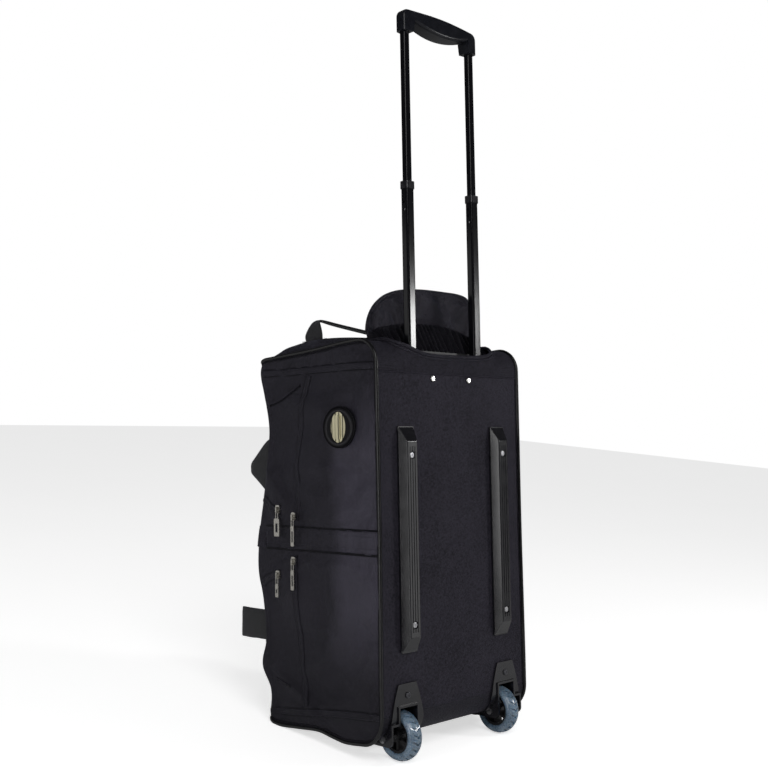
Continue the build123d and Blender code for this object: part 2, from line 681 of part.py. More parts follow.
def button_spring():
    """Return spring under the yoke."""
    coil = Helix(pitch=SPRING_PITCH, height=SPRING_HEIGHT, radius=SPRING_RADIUS)
    coil = Pos(0, TUBE_Y, SPRING_LOW) * coil
    return sweep((coil ^ 0) * Circle(SPRING_WIRE), path=coil)


# ---------------------------------------------------------------- pocket flap and sewn handles
def pocket_flap():
    """Cover of the handle pocket, standing open behind the tubes."""
    plate = block(FLAP_X, (FLAP_Y - FLAP_HALF_THICK, FLAP_Y + FLAP_HALF_THICK), (FLAP_FOOT, FLAP_TOP))
    corners = plate.edges().filter_by(Axis.Y).group_by(Axis.Z)[-1]
    return fillet(corners, FLAP_CORNER)


def pocket_liner():
    """Gathered lining in front of the flap."""
    return block((-LINER_HALF, LINER_HALF), LINER_Y, LINER_Z)


def grab_handle():
    """Webbing grab handle on the upper end, drawn up near its left foot."""
    outer = [(-104, 586), (-106, 604), (-92, 620), (96, 602), (102, 586)]
    inner = [(99, 586), (94, 599), (-91, 616.5), (-102.5, 603), (-101, 586)]
    with BuildSketch(Plane.XZ.offset(-GRAB_Y[1])) as arch:
        with BuildLine():
            Polyline(outer + inner, close=True)
        make_face()
    return extrude(arch.sketch, GRAB_Y[1] - GRAB_Y[0])


def carry_handle():
    """Left carry handle: two legs that fold inwards to a wrapped grip."""
    x = -CARRY_X
    half = CARRY_WEB / 2
    low, high = CARRY_FEET
    middle = (low + high) / 2
    near, far = CARRY_GRIP_X
    shape = Part()
    for foot, side in ((low, -1), (high, 1)):
        grip_end = middle + side * (CARRY_GRIP_HALF - 1)
        outline = [(x, foot - half), (x, foot + half), (-near - 4, grip_end + 12), (-near - 4, grip_end - 12)]
        with BuildSketch(Plane.XZ.offset(-CARRY_REACH)) as fold:
            Polygon(*outline, align=None)
        shape += extrude(fold.sketch, WEB_THICK)
        shape += block((x - WEB_THICK / 2, x + WEB_THICK / 2), (CARRY_HINGE_Y + 0.5, CARRY_REACH),
                       (foot - half, foot + half))
    grip = block((-far, -near), (CARRY_REACH - 9, CARRY_REACH + 4),
                 (middle - CARRY_GRIP_HALF, middle + CARRY_GRIP_HALF))
    return shape + fillet(grip.edges().filter_by(Axis.Z), 5)


def handle_feet():
    """Sewn ends of the grab handle and of both carry handles."""
    half = CARRY_WEB / 2
    feet = [block((x - 16, x + 16), GRAB_Y, (BAG_TOP + PLATE_GAP, BAG_TOP + 2.2)) for x in GRAB_FEET_X]
    for side in (-1, 1):
        for z in CARRY_FEET:
            feet.append(block((side * (CARRY_X + 12), side * (CARRY_X - 18)),
                              (BAG_DEPTH + PLATE_GAP, BAG_DEPTH + 2), (z - half, z + half)))
    return Compound(children=feet)


# ---------------------------------------------------------------- badge and zips
def badge_base():
    """Oval rubber backing on the left side panel."""
    plane = Plane(origin=(-BAG_WIDTH / 2 - 0.05, BADGE_Y, BADGE_Z), z_dir=(-1, 0, 0), x_dir=(0, -1, 0))
    base = extrude(plane * Ellipse(*BADGE_RADII), BADGE_THICK)
    base = fillet(base.edges().sort_by(Axis.X)[0], 1.2)
    recess = Ellipse(PLATE_RADII[0] + 0.2, PLATE_RADII[1] + 0.2)
    return base - extrude(plane.offset(BADGE_THICK - 1.6) * recess, BADGE_THICK)


def badge_plate():
    """Plain metal oval with a raised bar, set into the backing."""
    start = -BAG_WIDTH / 2 - BADGE_THICK / 2
    plane = Plane(origin=(start, BADGE_Y, BADGE_Z), z_dir=(-1, 0, 0), x_dir=(0, -1, 0))
    plate = extrude(plane * Ellipse(*PLATE_RADII), 2)
    bar = extrude(plane.offset(1) * RectangleRounded(9, 34, 2), 2.2)
    return plate + bar


def zip_strip(points):
    """Closed zip: a narrow strip along a path on the left side panel."""
    pieces = []
    for start, end in zip(points, points[1:]):
        run = Vector(end[0] - start[0], end[1] - start[1])
        angle = run.get_angle(Vector(0, 1)) * (1 if run.X < 0 else -1)
        centre = Pos((start[0] + end[0]) / 2, (start[1] + end[1]) / 2)
        pieces.append(centre * Rot(Z=angle) * RectangleRounded(ZIP_WIDTH, run.length + ZIP_WIDTH, 2))
    outline = pieces[0]
    for piece in pieces[1:]:
        outline += piece
    return extrude(Plane.YZ.offset(ZIP_FACE_X - ZIP_THICK) * outline, ZIP_THICK)


def pocket_zips():
    """The four closed zips of the side pockets."""
    paths = (UPPER_ZIP, LOWER_ZIP, UPPER_ARCH, LOWER_ARCH)
    return Compound(children=[solid for path in paths for solid in zip_strip(path).solids()])


def side_slider(y, z):
    """Zip slider body with a bail, on the left side panel."""
    depth, width, height = SLIDER_SIZE
    body = block((SLIDER_X - depth, SLIDER_X), (y - width / 2, y + width / 2),
                 (z - height / 2, z + height / 2))
    body = fillet(body.edges().filter_by(Axis.X), 2.5)
    pivot_z = z - PIVOT_DROP
    bail = block((PIVOT_X - 2.1, PIVOT_X + 1.5), (y - 1.2, y + 1.2), (pivot_z - 2.4, z + 3.5))
    bail = fillet(bail.edges().filter_by(Axis.Y).group_by(Axis.X)[0], 1)
    eye = block((PIVOT_X - 1, PIVOT_X + 1), (y - 2, y + 2), (pivot_z - 1.1, pivot_z + 1.1))
    return body + bail - eye


def side_tab(y, z, length, width):
    """Pull tab that hangs from a slider's bail by a wire link."""
    pivot_z = z - PIVOT_DROP
    link = block((PIVOT_X - 0.4, PIVOT_X + 0.4), (y - 3, y + 3), (pivot_z - 12, pivot_z + 0.5))
    link -= block((PIVOT_X - 1, PIVOT_X + 1), (y - 1.7, y + 1.7), (pivot_z - 10.5, pivot_z - 0.5))
    blade = block((PIVOT_X - 0.8, PIVOT_X + 0.6), (y - width / 2, y + width / 2),
                  (pivot_z - length, pivot_z - 11))
    blade = fillet(blade.edges().filter_by(Axis.X), 1.6)
    window = block((PIVOT_X - 1, PIVOT_X + 1), (y - width / 5, y + width / 5),
                   (pivot_z - length + 6, pivot_z - 18))
    return link + blade - window


def to_front(shape):
    """Turn a part made for the left side panel onto the middle of the front panel."""
    return Pos(0, BAG_DEPTH, 0) * Rot(Z=-90) * Pos(BAG_WIDTH / 2, 0, 0) * shape


def write(shape, name):
    """Write one sub-part."""
    export_step(shape, os.path.join("parts", name + ".step"))


def mirrored(shape):
    """Right-hand twin of a left-hand part."""
    return mirror(shape, Plane.YZ)


def all_parts():
    """Every sub-part by name."""
    parts = {
        "back_panel": back_panel(),
        "handle_pocket_panel": handle_pocket_panel(),
        "top_end_panel": top_end_panel(),
        "bottom_end_panel": bottom_end_panel(),
        "front_panel": front_panel(),
        "main_flap_left": main_flap(),
        "main_flap_right": mirrored(main_flap()),
        "side_panel_left": side_panel(),
        "side_panel_right": mirrored(side_panel()),
        "edge_piping": edge_piping(),
        "mid_bands": mid_bands(),
        "pocket_linings": pocket_linings(),
        "base_board": base_board(),
        "inner_wall": inner_wall(),
        "skid_rail_left": skid_rail(),
        "skid_rail_right": mirrored(skid_rail()),
        "rail_screws": rail_screws(),
        "back_rivets": back_rivets(),
        "wheel_housing_left": wheel_housing(),
        "wheel_housing_right": mirrored(wheel_housing()),
        "housing_screws": housing_screws(),
        "tyre_left": tyre(),
        "tyre_right": mirrored(tyre()),
        "hub_left": hub(),
        "hub_right": mirrored(hub()),
        "axles": axles(),
        "outer_tubes": both_tubes(tube(OUTER_TUBE, OUTER_LOW, OUTER_HIGH)),
        "middle_tubes": mid_tubes(),
        "top_tubes": top_tubes(),
        "tube_collars": collars(),
        "middle_lock_plugs": lock_plugs(MID_TUBE, MID_LOW),
        "top_lock_plugs": lock_plugs(TOP_TUBE, TOP_LOW),
        "middle_lock_pins": lock_pins(MID_TUBE, MID_PIN_Z),
        "top_lock_pins": lock_pins(TOP_TUBE, TOP_PIN_Z),
        "upper_bracket": upper_bracket(),
        "foot_bracket": foot_bracket(),
        "grip_upper_shell": grip_half(True),
        "grip_lower_shell": grip_half(False),
        "release_button": release_button(),
        "push_rods": push_rods(),
        "button_spring": button_spring(),
        "pocket_flap": pocket_flap(),
        "pocket_liner": pocket_liner(),
        "grab_handle": grab_handle(),
        "carry_handle_left": carry_handle(),
        "carry_handle_right": mirrored(carry_handle()),
        "handle_feet": handle_feet(),
        "badge_base": badge_base(),
        "badge_plate": badge_plate(),
        "pocket_zips": pocket_zips(),
        "main_zip_slider": to_front(side_slider(0, MAIN_ZIP_Z)),
        "main_zip_tab": to_front(side_tab(0, MAIN_ZIP_Z, *MAIN_TAB)),
    }
    for name, (y, z, length, width) in ZIP_PULLS.items():
        parts[name + "_slider"] = side_slider(y, z)
        parts[name + "_tab"] = side_tab(y, z, length, width)
    return parts


os.makedirs("parts", exist_ok=True)
for part_name, part_shape in all_parts().items():
    write(part_shape, part_name)
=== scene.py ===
"""Looks of the wheeled duffel bag: cloth, seams, zips, webbing, plastics, metal, light and camera.

Metres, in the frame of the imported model: +Z up along the bag, +Y from the back panel to the front.
"""
import bpy
import math
import bmesh
import numpy as np
from mathutils import Matrix, Vector, noise
from mathutils.bvhtree import BVHTree


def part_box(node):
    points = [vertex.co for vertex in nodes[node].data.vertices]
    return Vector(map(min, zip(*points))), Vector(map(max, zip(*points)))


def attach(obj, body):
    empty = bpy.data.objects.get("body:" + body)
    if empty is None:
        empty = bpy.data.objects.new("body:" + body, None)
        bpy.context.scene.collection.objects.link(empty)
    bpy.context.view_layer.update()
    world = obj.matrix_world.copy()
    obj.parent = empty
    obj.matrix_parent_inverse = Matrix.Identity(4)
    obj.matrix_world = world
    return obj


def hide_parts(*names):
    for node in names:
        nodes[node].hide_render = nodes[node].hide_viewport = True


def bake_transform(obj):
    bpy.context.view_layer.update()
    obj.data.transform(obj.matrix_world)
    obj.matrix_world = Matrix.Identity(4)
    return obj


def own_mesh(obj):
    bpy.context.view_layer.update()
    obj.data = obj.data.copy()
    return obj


MM = 0.001
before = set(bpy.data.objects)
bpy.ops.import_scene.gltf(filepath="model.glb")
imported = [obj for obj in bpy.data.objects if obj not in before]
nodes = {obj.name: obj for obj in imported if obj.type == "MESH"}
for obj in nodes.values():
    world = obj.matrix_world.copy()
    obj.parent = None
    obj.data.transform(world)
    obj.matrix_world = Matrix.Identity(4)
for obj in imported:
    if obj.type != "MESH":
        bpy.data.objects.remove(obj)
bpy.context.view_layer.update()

# ---- sizes read from the frame ----
HALF_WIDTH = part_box("side_panel_right")[1].x
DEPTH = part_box("front_panel")[1].y
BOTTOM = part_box("front_panel")[0].z
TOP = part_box("top_end_panel")[1].z
SEAM_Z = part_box("handle_pocket_panel")[0].z
LOWER_SEAM_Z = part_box("back_panel")[0].z
BAND_LOW, BAND_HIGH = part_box("mid_bands")[0].z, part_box("mid_bands")[1].z
FLAP_EDGE_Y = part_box("handle_pocket_panel")[1].y
OPENING_HALF = 0.001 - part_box("main_flap_left")[0].x
OPENING_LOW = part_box("main_flap_left")[0].z - 0.001
OPENING_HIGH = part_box("main_flap_left")[1].z + 0.001
BACK_RADIUS = 35 * MM
FRONT_RADIUS = 18 * MM
LOW_FRONT_RADIUS = 20 * MM
PLAN_RADIUS = 9 * MM
CLOTH_THICK = 1.2 * MM
GRID_STEP = 6 * MM
SEAM_HOLD = 4 * MM
ON_WALL = 1e-6
BACK_DIRECTION = (0, -1, 0)


# ================================================================ materials
class Nodes:
    """Small helper round one material's node tree."""

    def __init__(self, name):
        self.material = bpy.data.materials.new(name)
        self.material.use_nodes = True
        self.tree = self.material.node_tree
        self.shader = self.tree.nodes["Principled BSDF"]

    def add(self, kind, **settings):
        node = self.tree.nodes.new(kind)
        for key, value in settings.items():
            setattr(node, key, value)
        return node

    def link(self, source, target):
        self.tree.links.new(source, target)

    def math(self, operation, first, second=None):
        """One arithmetic step on numbers or sockets."""
        node = self.add("ShaderNodeMath", operation=operation)
        for socket, value in zip(node.inputs, (first, second)):
            if value is None:
                continue
            if isinstance(value, (int, float)):
                socket.default_value = value
            else:
                self.link(value, socket)
        return node.outputs[0]

    def noise(self, coordinate, scale, detail=3.0, roughness=0.55):
        """Fractal noise from 0 to 1; the scale counts features per metre."""
        node = self.add("ShaderNodeTexNoise")
        node.inputs["Scale"].default_value = scale
        node.inputs["Detail"].default_value = detail
        node.inputs["Roughness"].default_value = roughness
        self.link(coordinate, node.inputs["Vector"])
        return node.outputs["Fac"]

    def place(self):
        """Coordinates in metres, in the frame of the bag."""
        return self.add("ShaderNodeTexCoord").outputs["Object"]

    def axes(self, vector):
        """The three coordinates of a vector, one socket each."""
        node = self.add("ShaderNodeSeparateXYZ")
        self.link(vector, node.inputs[0])
        return node.outputs

    def stretched(self, vector, scale):
        """A vector scaled differently along each axis."""
        node = self.add("ShaderNodeMapping")
        node.inputs["Scale"].default_value = scale
        self.link(vector, node.inputs["Vector"])
        return node.outputs[0]

    def ramp(self, value, low, high, from_low=0.0, from_high=1.0):
        """A value moved from one range to another, held at both ends."""
        node = self.add("ShaderNodeMapRange")
        node.inputs["From Min"].default_value = from_low
        node.inputs["From Max"].default_value = from_high
        node.inputs["To Min"].default_value = low
        node.inputs["To Max"].default_value = high
        self.link(value, node.inputs["Value"])
        return node.outputs["Result"]

    def mix_colour(self, factor, first, second):
        """Blend of two colours, which may run past either end."""
        node = self.add("ShaderNodeMix", data_type="RGBA", clamp_factor=False)
        node.inputs[6].default_value = (*first, 1)
        node.inputs[7].default_value = (*second, 1)
        self.link(factor, node.inputs[0])
        return node.outputs[2]

    def bump(self, height, distance, strength=1.0, base=None):
        """Normal raised by a height, over another normal where one is given."""
        node = self.add("ShaderNodeBump")
        node.inputs["Distance"].default_value = distance
        node.inputs["Strength"].default_value = strength
        self.link(height, node.inputs["Height"])
        if base is not None:
            self.link(base, node.inputs["Normal"])
        return node.outputs["Normal"]

    def set(self, **values):
        """Set shader inputs by name, from numbers, colours or sockets."""
        for key, value in values.items():
            socket = self.shader.inputs[key.replace("_", " ")]
            if isinstance(value, (int, float)):
                socket.default_value = value
            elif isinstance(value, tuple):
                socket.default_value = (*value, 1)
            else:
                self.link(value, socket)


def scaled(colour, factor, lift=0.0):
    """A colour made lighter or darker."""
    return tuple(c * factor + lift for c in colour)


def weave_height(n, pitch, across=1.0):
    """Plain weave in the piece's own cloth coordinates, which are in metres."""
    uv = n.add("ShaderNodeUVMap", uv_map="cloth").outputs["UV"]
    axes = n.axes(uv)
    u = n.math("MULTIPLY", axes[0], 1 / pitch)
    v = n.math("MULTIPLY", axes[1], across / pitch)
    warp = n.math("ABSOLUTE", n.math("SINE", n.math("MULTIPLY", u, math.pi)))
    weft = n.math("ABSOLUTE", n.math("SINE", n.math("MULTIPLY", v, math.pi)))
    parity = n.math("MODULO", n.math("ADD", n.math("FLOOR", u), n.math("FLOOR", v)), 2.0)
    parity = n.math("ABSOLUTE", parity)
    over = n.math("MULTIPLY", warp, parity)
    under = n.math("MULTIPLY", weft, n.math("SUBTRACT", 1.0, parity))
    return n.math("ADD", over, under)


def painted_sheen_and_shade(n, place):
    """Mask beside the back piping where the side cloth gets a painted sheen and a lower roughness, less
    painted shade towards the floor.
    """
    axes = n.axes(place)
    drift = n.math("MULTIPLY", n.math("SUBTRACT", n.noise(place, 13, 3), 0.5), 0.09)
    along = n.math("ADD", axes[1], drift)
    # Painted sheen: a lighter band of the side cloth near the back piping.
    strip = n.ramp(along, 1, 0, 0.068, 0.108)
    height = axes[2]
    ends = n.math("MULTIPLY", n.ramp(height, 0, 1, 0.10, 0.20), n.ramp(height, 1, 0, 0.42, 0.52))
    # Painted shade: the cloth is darkened towards the floor.
    painted_floor_shade = n.ramp(height, -0.22, 0, 0.05, 0.20)
    return n.math("ADD", n.math("MULTIPLY", strip, ends), painted_floor_shade)


def cloth_material(name, colour, pitch, roughness=0.62, sheen=0.12, across=1.0, patch=0.3, crease=0.9,
                   specular=0.33, stretched=False):
    """Woven synthetic cloth with mottled dye, slubs, soft creases and a faint sheen."""
    n = Nodes(name)
    height = weave_height(n, pitch, across)
    place = n.place()
    patches = n.noise(place, 11, 3)
    mottle = n.noise(place, 210, 4, 0.8)
    flecks = n.noise(place, 330, 2, 0.6)
    shade = n.math("ADD", n.math("MULTIPLY", patches, 0.22), n.math("MULTIPLY", mottle, 0.36))
    shade = n.math("ADD", shade, n.math("MULTIPLY", flecks, 0.42))
    shade = n.math("ADD", shade, n.math("MULTIPLY", n.math("SUBTRACT", height, 0.5), 0.18))
    dark, light = scaled(colour, 1 - patch), scaled(colour, 1 + 1.5 * patch)
    factor = n.ramp(shade, 0, 1, 0.43, 0.57)
    rough = n.ramp(mottle, roughness - 0.08, roughness + 0.08, 0.3, 0.7)
    # Where asked, the colour gets a painted sheen beside the back piping and painted shade towards the
    # floor; the roughness drops with the sheen.
    if stretched:
        smooth = painted_sheen_and_shade(n, place)
        factor = n.math("ADD", factor, n.math("MULTIPLY", smooth, 2.2))
        rough = n.math("SUBTRACT", rough, n.math("MULTIPLY", smooth, 0.16))
    n.set(Base_Color=n.mix_colour(factor, dark, light), Roughness=rough)
    n.set(Sheen_Weight=sheen, Sheen_Roughness=0.4, Sheen_Tint=(0.72, 0.72, 1.0))
    n.set(Specular_IOR_Level=specular, Specular_Tint=(0.86, 0.82, 1.0))
    creases = n.bump(n.noise(place, 22, 3), crease * MM, 0.8)
    slubs = n.bump(flecks, 0.30 * MM, 0.9, creases)
    n.set(Normal=n.bump(height, 0.14 * MM, 0.9, slubs))
    return n.material


def webbing_material(name, colour, pitch):
    """Heavy ribbed webbing, slightly fuzzy."""
    n = Nodes(name)
    height = weave_height(n, pitch, 0.6)
    place = n.place()
    fuzz = n.noise(place, 420, 3, 0.7)
    shade = n.math("ADD", n.math("MULTIPLY", height, 0.55), n.math("MULTIPLY", fuzz, 0.45))
    n.set(Base_Color=n.mix_colour(shade, scaled(colour, 0.6), scaled(colour, 1.5)))
    n.set(Roughness=0.58, Sheen_Weight=0.15, Sheen_Roughness=0.4, Sheen_Tint=(0.85, 0.9, 1.0))
    n.set(Normal=n.bump(height, 0.35 * MM, 0.9, n.bump(fuzz, 0.1 * MM)))
    return n.material


def plastic_material(name, colour, roughness, grain=600.0, depth=0.05, coat=0.0, specular=0.5):
    """Moulded plastic with a fine spark-eroded grain and faint scuffs."""
    n = Nodes(name)
    place = n.place()
    fine = n.noise(place, grain, 2)
    scuff = n.noise(place, 60, 5, 0.75)
    n.set(Base_Color=n.mix_colour(n.ramp(scuff, 0, 1, 0.35, 0.7), colour, scaled(colour, 1.7, 0.004)))
    n.set(Roughness=n.ramp(scuff, roughness - 0.02, roughness + 0.05, 0.3, 0.7))
    n.set(Specular_IOR_Level=specular)
    n.set(Normal=n.bump(fine, depth * MM, 0.7), Coat_Weight=coat, Coat_Roughness=0.06)
    return n.material


def metal_material(name, colour, roughness, grain=300.0, stretch=(1, 1, 1), bars=0.0):
    """Plated or polished metal with fine handling marks, and raised upright bars where asked."""
    n = Nodes(name)
    place = n.place()
    marks = n.noise(n.stretched(place, stretch), grain, 4, 0.7)
    n.set(Base_Color=n.mix_colour(n.ramp(marks, 0, 1, 0.3, 0.7), scaled(colour, 0.75), colour))
    n.set(Metallic=1.0, Roughness=n.ramp(marks, roughness * 0.7, roughness * 1.6, 0.3, 0.7))
    normal = n.bump(marks, 0.04 * MM, 0.4)
    if bars:
        wave = n.math("SINE", n.math("MULTIPLY", n.axes(place)[1], 2 * math.pi / bars))
        ridge = n.ramp(wave, 0, 1, -0.9, -0.5)
        n.set(Base_Color=n.mix_colour(ridge, scaled(colour, 0.10), colour))
        normal = n.bump(ridge, 0.5 * MM, 1.0, normal)
    n.set(Normal=normal)
    return n.material


def badge_rubber_material(name, colour):
    """Matt moulded rubber of the badge backing, with a raised ring whose lighter colour is a painted
    highlight, and a dark groove round the plate.
    """
    n = Nodes(name)
    place = n.place()
    axes = n.axes(place)
    low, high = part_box("badge_base")
    squares = []
    for axis in (1, 2):
        centre, half = (low[axis] + high[axis]) / 2, (high[axis] - low[axis]) / 2
        run = n.math("MULTIPLY", n.math("SUBTRACT", axes[axis], centre), 1 / half)
        squares.append(n.math("MULTIPLY", run, run))
    reach = n.math("SQRT", n.math("ADD", squares[0], squares[1]))
    ring = n.ramp(n.math("ABSOLUTE", n.math("SUBTRACT", reach, 0.80)), 1, 0, 0.02, 0.09)
    groove = n.ramp(n.math("ABSOLUTE", n.math("SUBTRACT", reach, 0.95)), 1, 0, 0.01, 0.05)
    fine = n.noise(place, 500, 2)
    # Painted highlight: the raised ring is given a lighter, flecked colour.
    light = n.mix_colour(n.math("MULTIPLY", fine, ring), colour, scaled(colour, 4, 0.012))
    n.set(Base_Color=light, Roughness=n.ramp(ring, 0.6, 0.25))
    n.set(Specular_IOR_Level=n.ramp(groove, 0.16, 0.02))
    height = n.math("SUBTRACT", ring, groove)
    n.set(Normal=n.bump(height, 0.9 * MM, 1.0, n.bump(fine, 0.02 * MM, 0.7)))
    return n.material


def enamel_material(name, colour):
    """Gloss black enamel on drawn tube: clear top coat over a faint drawing grain."""
    n = Nodes(name)
    place = n.place()
    drawn = n.noise(n.stretched(place, (1, 1, 0.02)), 900, 3)
    n.set(Base_Color=n.mix_colour(drawn, colour, scaled(colour, 1.8)))
    n.set(Roughness=n.ramp(drawn, 0.15, 0.19, 0.3, 0.7), Specular_IOR_Level=0.2)
    n.set(Normal=n.bump(drawn, 0.004 * MM, 0.2))
    return n.material


def polyurethane_material(name):
    """Milky blue-grey polyurethane of the tyres, cloudy inside and dusty in the tread."""
    n = Nodes(name)
    place = n.place()
    cloud = n.noise(place, 45, 4, 0.6)
    dust = n.noise(place, 320, 4, 0.7)
    n.set(Base_Color=n.mix_colour(n.ramp(cloud, 0, 1, 0.3, 0.7), (0.082, 0.132, 0.19), (0.26, 0.35, 0.45)))
    n.set(Roughness=n.ramp(dust, 0.16, 0.42, 0.3, 0.7), Subsurface_Weight=0.35, Subsurface_Scale=0.012)
    n.set(Transmission_Weight=0.25, IOR=1.5, Coat_Weight=0.3, Coat_Roughness=0.15)
    n.shader.inputs["Subsurface Radius"].default_value = (0.4, 0.7, 1.0)
    n.set(Normal=n.bump(dust, 0.12 * MM, 0.5))
    return n.material


# The nylon carries the painted sheen near the back piping and the painted shade towards the floor.
NYLON = cloth_material("nylon_cloth", (0.0060, 0.0055, 0.0077), 0.75 * MM, 0.54, 0.06, patch=0.8,
                       stretched=True)
BACK_NYLON = cloth_material("back_cloth", (0.0112, 0.0102, 0.0140), 0.95 * MM, 0.72, 0.06, patch=0.8,
                            crease=0.5, specular=0.22)
YOKE_NYLON = cloth_material("yoke_cloth", (0.0080, 0.0073, 0.0100), 0.95 * MM, 0.72, 0.06, patch=0.8,
                            crease=0.7, specular=0.20)
LINING = cloth_material("lining_satin", (0.0020, 0.0019, 0.0027), 0.4 * MM, 0.34, 0.03, patch=0.2,
                        crease=0.3, specular=0.18)
PADDED = cloth_material("flap_satin", (0.0070, 0.0065, 0.0086), 0.5 * MM, 0.33, 0.10, patch=0.4,
                        crease=3.4, specular=0.3)
THREAD = cloth_material("seam_thread", (0.012, 0.012, 0.014), 0.3 * MM, 0.5, 0.15, crease=0.1)
WEBBING = webbing_material("ribbed_webbing", (0.0060, 0.0057, 0.0070), 1.3 * MM)
PIPING = plastic_material("piping_vinyl", (0.0028, 0.0028, 0.0034), 0.30, 350, 0.03, 0.0, 0.38)
PLASTIC = plastic_material("moulded_plastic", (0.0046, 0.0044, 0.0062), 0.20, 500, 0.008)
HUB_PLASTIC = plastic_material("hub_plastic", (0.005, 0.005, 0.006), 0.34, 600, 0.03, 0.0, 0.3)
GRIP = plastic_material("grip_plastic", (0.0034, 0.0038, 0.0062), 0.30, 700, 0.01, 0.0, 0.24)
BUTTON = plastic_material("button_plastic", (0.018, 0.019, 0.022), 0.34, 700, 0.02, 0.2)
BOARD = plastic_material("board_plastic", (0.02, 0.02, 0.02), 0.5)
COIL = plastic_material("zip_coil", (0.010, 0.010, 0.012), 0.35, 900, 0.02)
RUBBER = badge_rubber_material("badge_rubber", (0.0040, 0.0038, 0.0050))
NICKEL = metal_material("nickel_plate", (0.66, 0.65, 0.62), 0.22)
ZIP_METAL = metal_material("zip_metal", (0.62, 0.60, 0.55), 0.24, 500)
BADGE = metal_material("badge_metal", (0.62, 0.58, 0.40), 0.34, 220, (1, 6, 0.4), 7.5 * MM)
STEEL = metal_material("ground_steel", (0.5, 0.5, 0.52), 0.3)
DARK_STEEL = metal_material("blackened_steel", (0.10, 0.10, 0.11), 0.34)
ENAMEL = enamel_material("tube_enamel", (0.0022, 0.0022, 0.0030))
POLYURETHANE = polyurethane_material("polyurethane")


# ================================================================ mesh tools
def new_mesh(name, points, faces, material, uvs=None, smooth=True):
    """Mesh object from points and faces, with cloth coordinates in metres where given."""
    mesh = bpy.data.meshes.new(name)
    mesh.from_pydata([tuple(p) for p in points], [], faces)
    mesh.materials.append(material)
    if smooth:
        mesh.polygons.foreach_set("use_smooth", [True] * len(mesh.polygons))
    if uvs is not None:
        layer = mesh.uv_layers.new(name="cloth")
        for loop in mesh.loops:
            layer.data[loop.index].uv = uvs[loop.vertex_index]
    mesh.update()
    piece = bpy.data.objects.new(name, mesh)
    bpy.context.scene.collection.objects.link(piece)
    return piece


def apply_modifiers(piece):
    """Bake a piece's modifiers into its mesh."""
    graph = bpy.context.evaluated_depsgraph_get()
    mesh = bpy.data.meshes.new_from_object(piece.evaluated_get(graph), depsgraph=graph)
    piece.modifiers.clear()
    piece.data = mesh
    return piece


def thicken(piece, thickness, offset=-1.0, levels=0):
    """Close a sheet into cloth of real thickness, optionally smoothed first."""
    if levels:
        smooth = piece.modifiers.new("smooth", "SUBSURF")
        smooth.levels = smooth.render_levels = levels
    solid = piece.modifiers.new("solid", "SOLIDIFY")
    solid.thickness = thickness
    solid.offset = offset
    return apply_modifiers(piece)


def lerp(a, b, t):
    """Value a share of the way from a to b."""
    return a + (b - a) * t


def smoothstep(low, high, value):
    """0 before low and 1 after high, with a soft turn between; low may be the greater."""
    t = max(0.0, min(1.0, (value - low) / (high - low)))
    return t * t * (3 - 2 * t)


def spaced(low, high, step):
    """Evenly spaced values from low to high, both included, no further apart than step."""
    count = max(1, math.ceil(abs(high - low) / step - 1e-6))
    return [lerp(low, high, i / count) for i in range(count + 1)]


def grid_lines(stops, step):
    """Grid lines through every stop, with even lines between."""
    lines = [stops[0]]
    for low, high in zip(stops, stops[1:]):
        lines += spaced(low, high, step)[1:]
    return lines


def curve_value(points, x):
    """Smooth curve through (x, value) points."""
    if x <= points[0][0]:
        return points[0][1]
    for index, ((x0, v0), (x1, v1)) in enumerate(zip(points, points[1:])):
        if x <= x1:
            before = points[max(0, index - 1)]
            after = points[min(len(points) - 1, index + 2)]
            slope0 = (v1 - before[1]) / (x1 - before[0])
            slope1 = (after[1] - v0) / (after[0] - x0)
            t = (x - x0) / (x1 - x0)
            h = x1 - x0
            return ((2 * t**3 - 3 * t**2 + 1) * v0 + (t**3 - 2 * t**2 + t) * h * slope0
                    + (3 * t**2 - 2 * t**3) * v1 + (t**3 - t**2) * h * slope1)
    return points[-1][1]


# ================================================================ bag shape
FRONT_PROFILE = [(30, 246), (71, 243), (105, 262), (143, 254), (202, 260), (250, 271), (300, 269),
                 (350, 258), (400, 249), (456, 243), (510, 251), (554, 260), (575, 258)]
WIDTH_PROFILE = [(30, 149.5), (110, 150), (300, 148.5), (470, 149), (575, 149.5)]
TOP_SLOPE = [(0, 0), (60, -2), (120, -7), (192, -11), (252, -14)]
BOTTOM_WAVE = [(0, 0), (35, -3), (72, -6), (100, -3), (129, 1), (175, -2), (222, -5), (250, -1)]


def depth_share(z):
    """How deep the bag is at a height, as a share of the plain box."""
    return curve_value(FRONT_PROFILE, z / MM) * MM / DEPTH


def width_share(z):
    """How wide the bag is at a height, as a share of the plain box."""
    return curve_value(WIDTH_PROFILE, z / MM) * MM / HALF_WIDTH


def round_corner(a, b, radius):
    """Distances from two walls, moved so that the square corner between them becomes round."""
    if a >= radius or b >= radius:
        return a, b
    p = 1 - a / radius
    q = 1 - b / radius
    return (radius * (1 - p * math.sqrt(1 - q * q / 2)), radius * (1 - q * math.sqrt(1 - p * p / 2)))


def bag_point(x, y, z):
    """A point of the plain box, moved to the bag's real shape."""
    side = -1 if x < 0 else 1
    gap_x, gap_y = round_corner(HALF_WIDTH - abs(x), DEPTH - y, PLAN_RADIUS)
    x = side * (HALF_WIDTH - gap_x)
    y = DEPTH - gap_y
    low, high = z - BOTTOM, TOP - z
    if y < DEPTH / 2:
        y, high = round_corner(y, high, BACK_RADIUS)
        y, low = round_corner(y, low, BACK_RADIUS)
    else:
        front, high = round_corner(DEPTH - y, high, FRONT_RADIUS)
        front, low = round_corner(front, low, LOW_FRONT_RADIUS)
        y = DEPTH - front
    z = TOP - high if z > (TOP + BOTTOM) / 2 else BOTTOM + low
    deep = y * lerp(1, depth_share(z), smoothstep(0.02, 0.2, y))
    return Vector((x * width_share(z), deep, z + end_sag(x, y, z)))


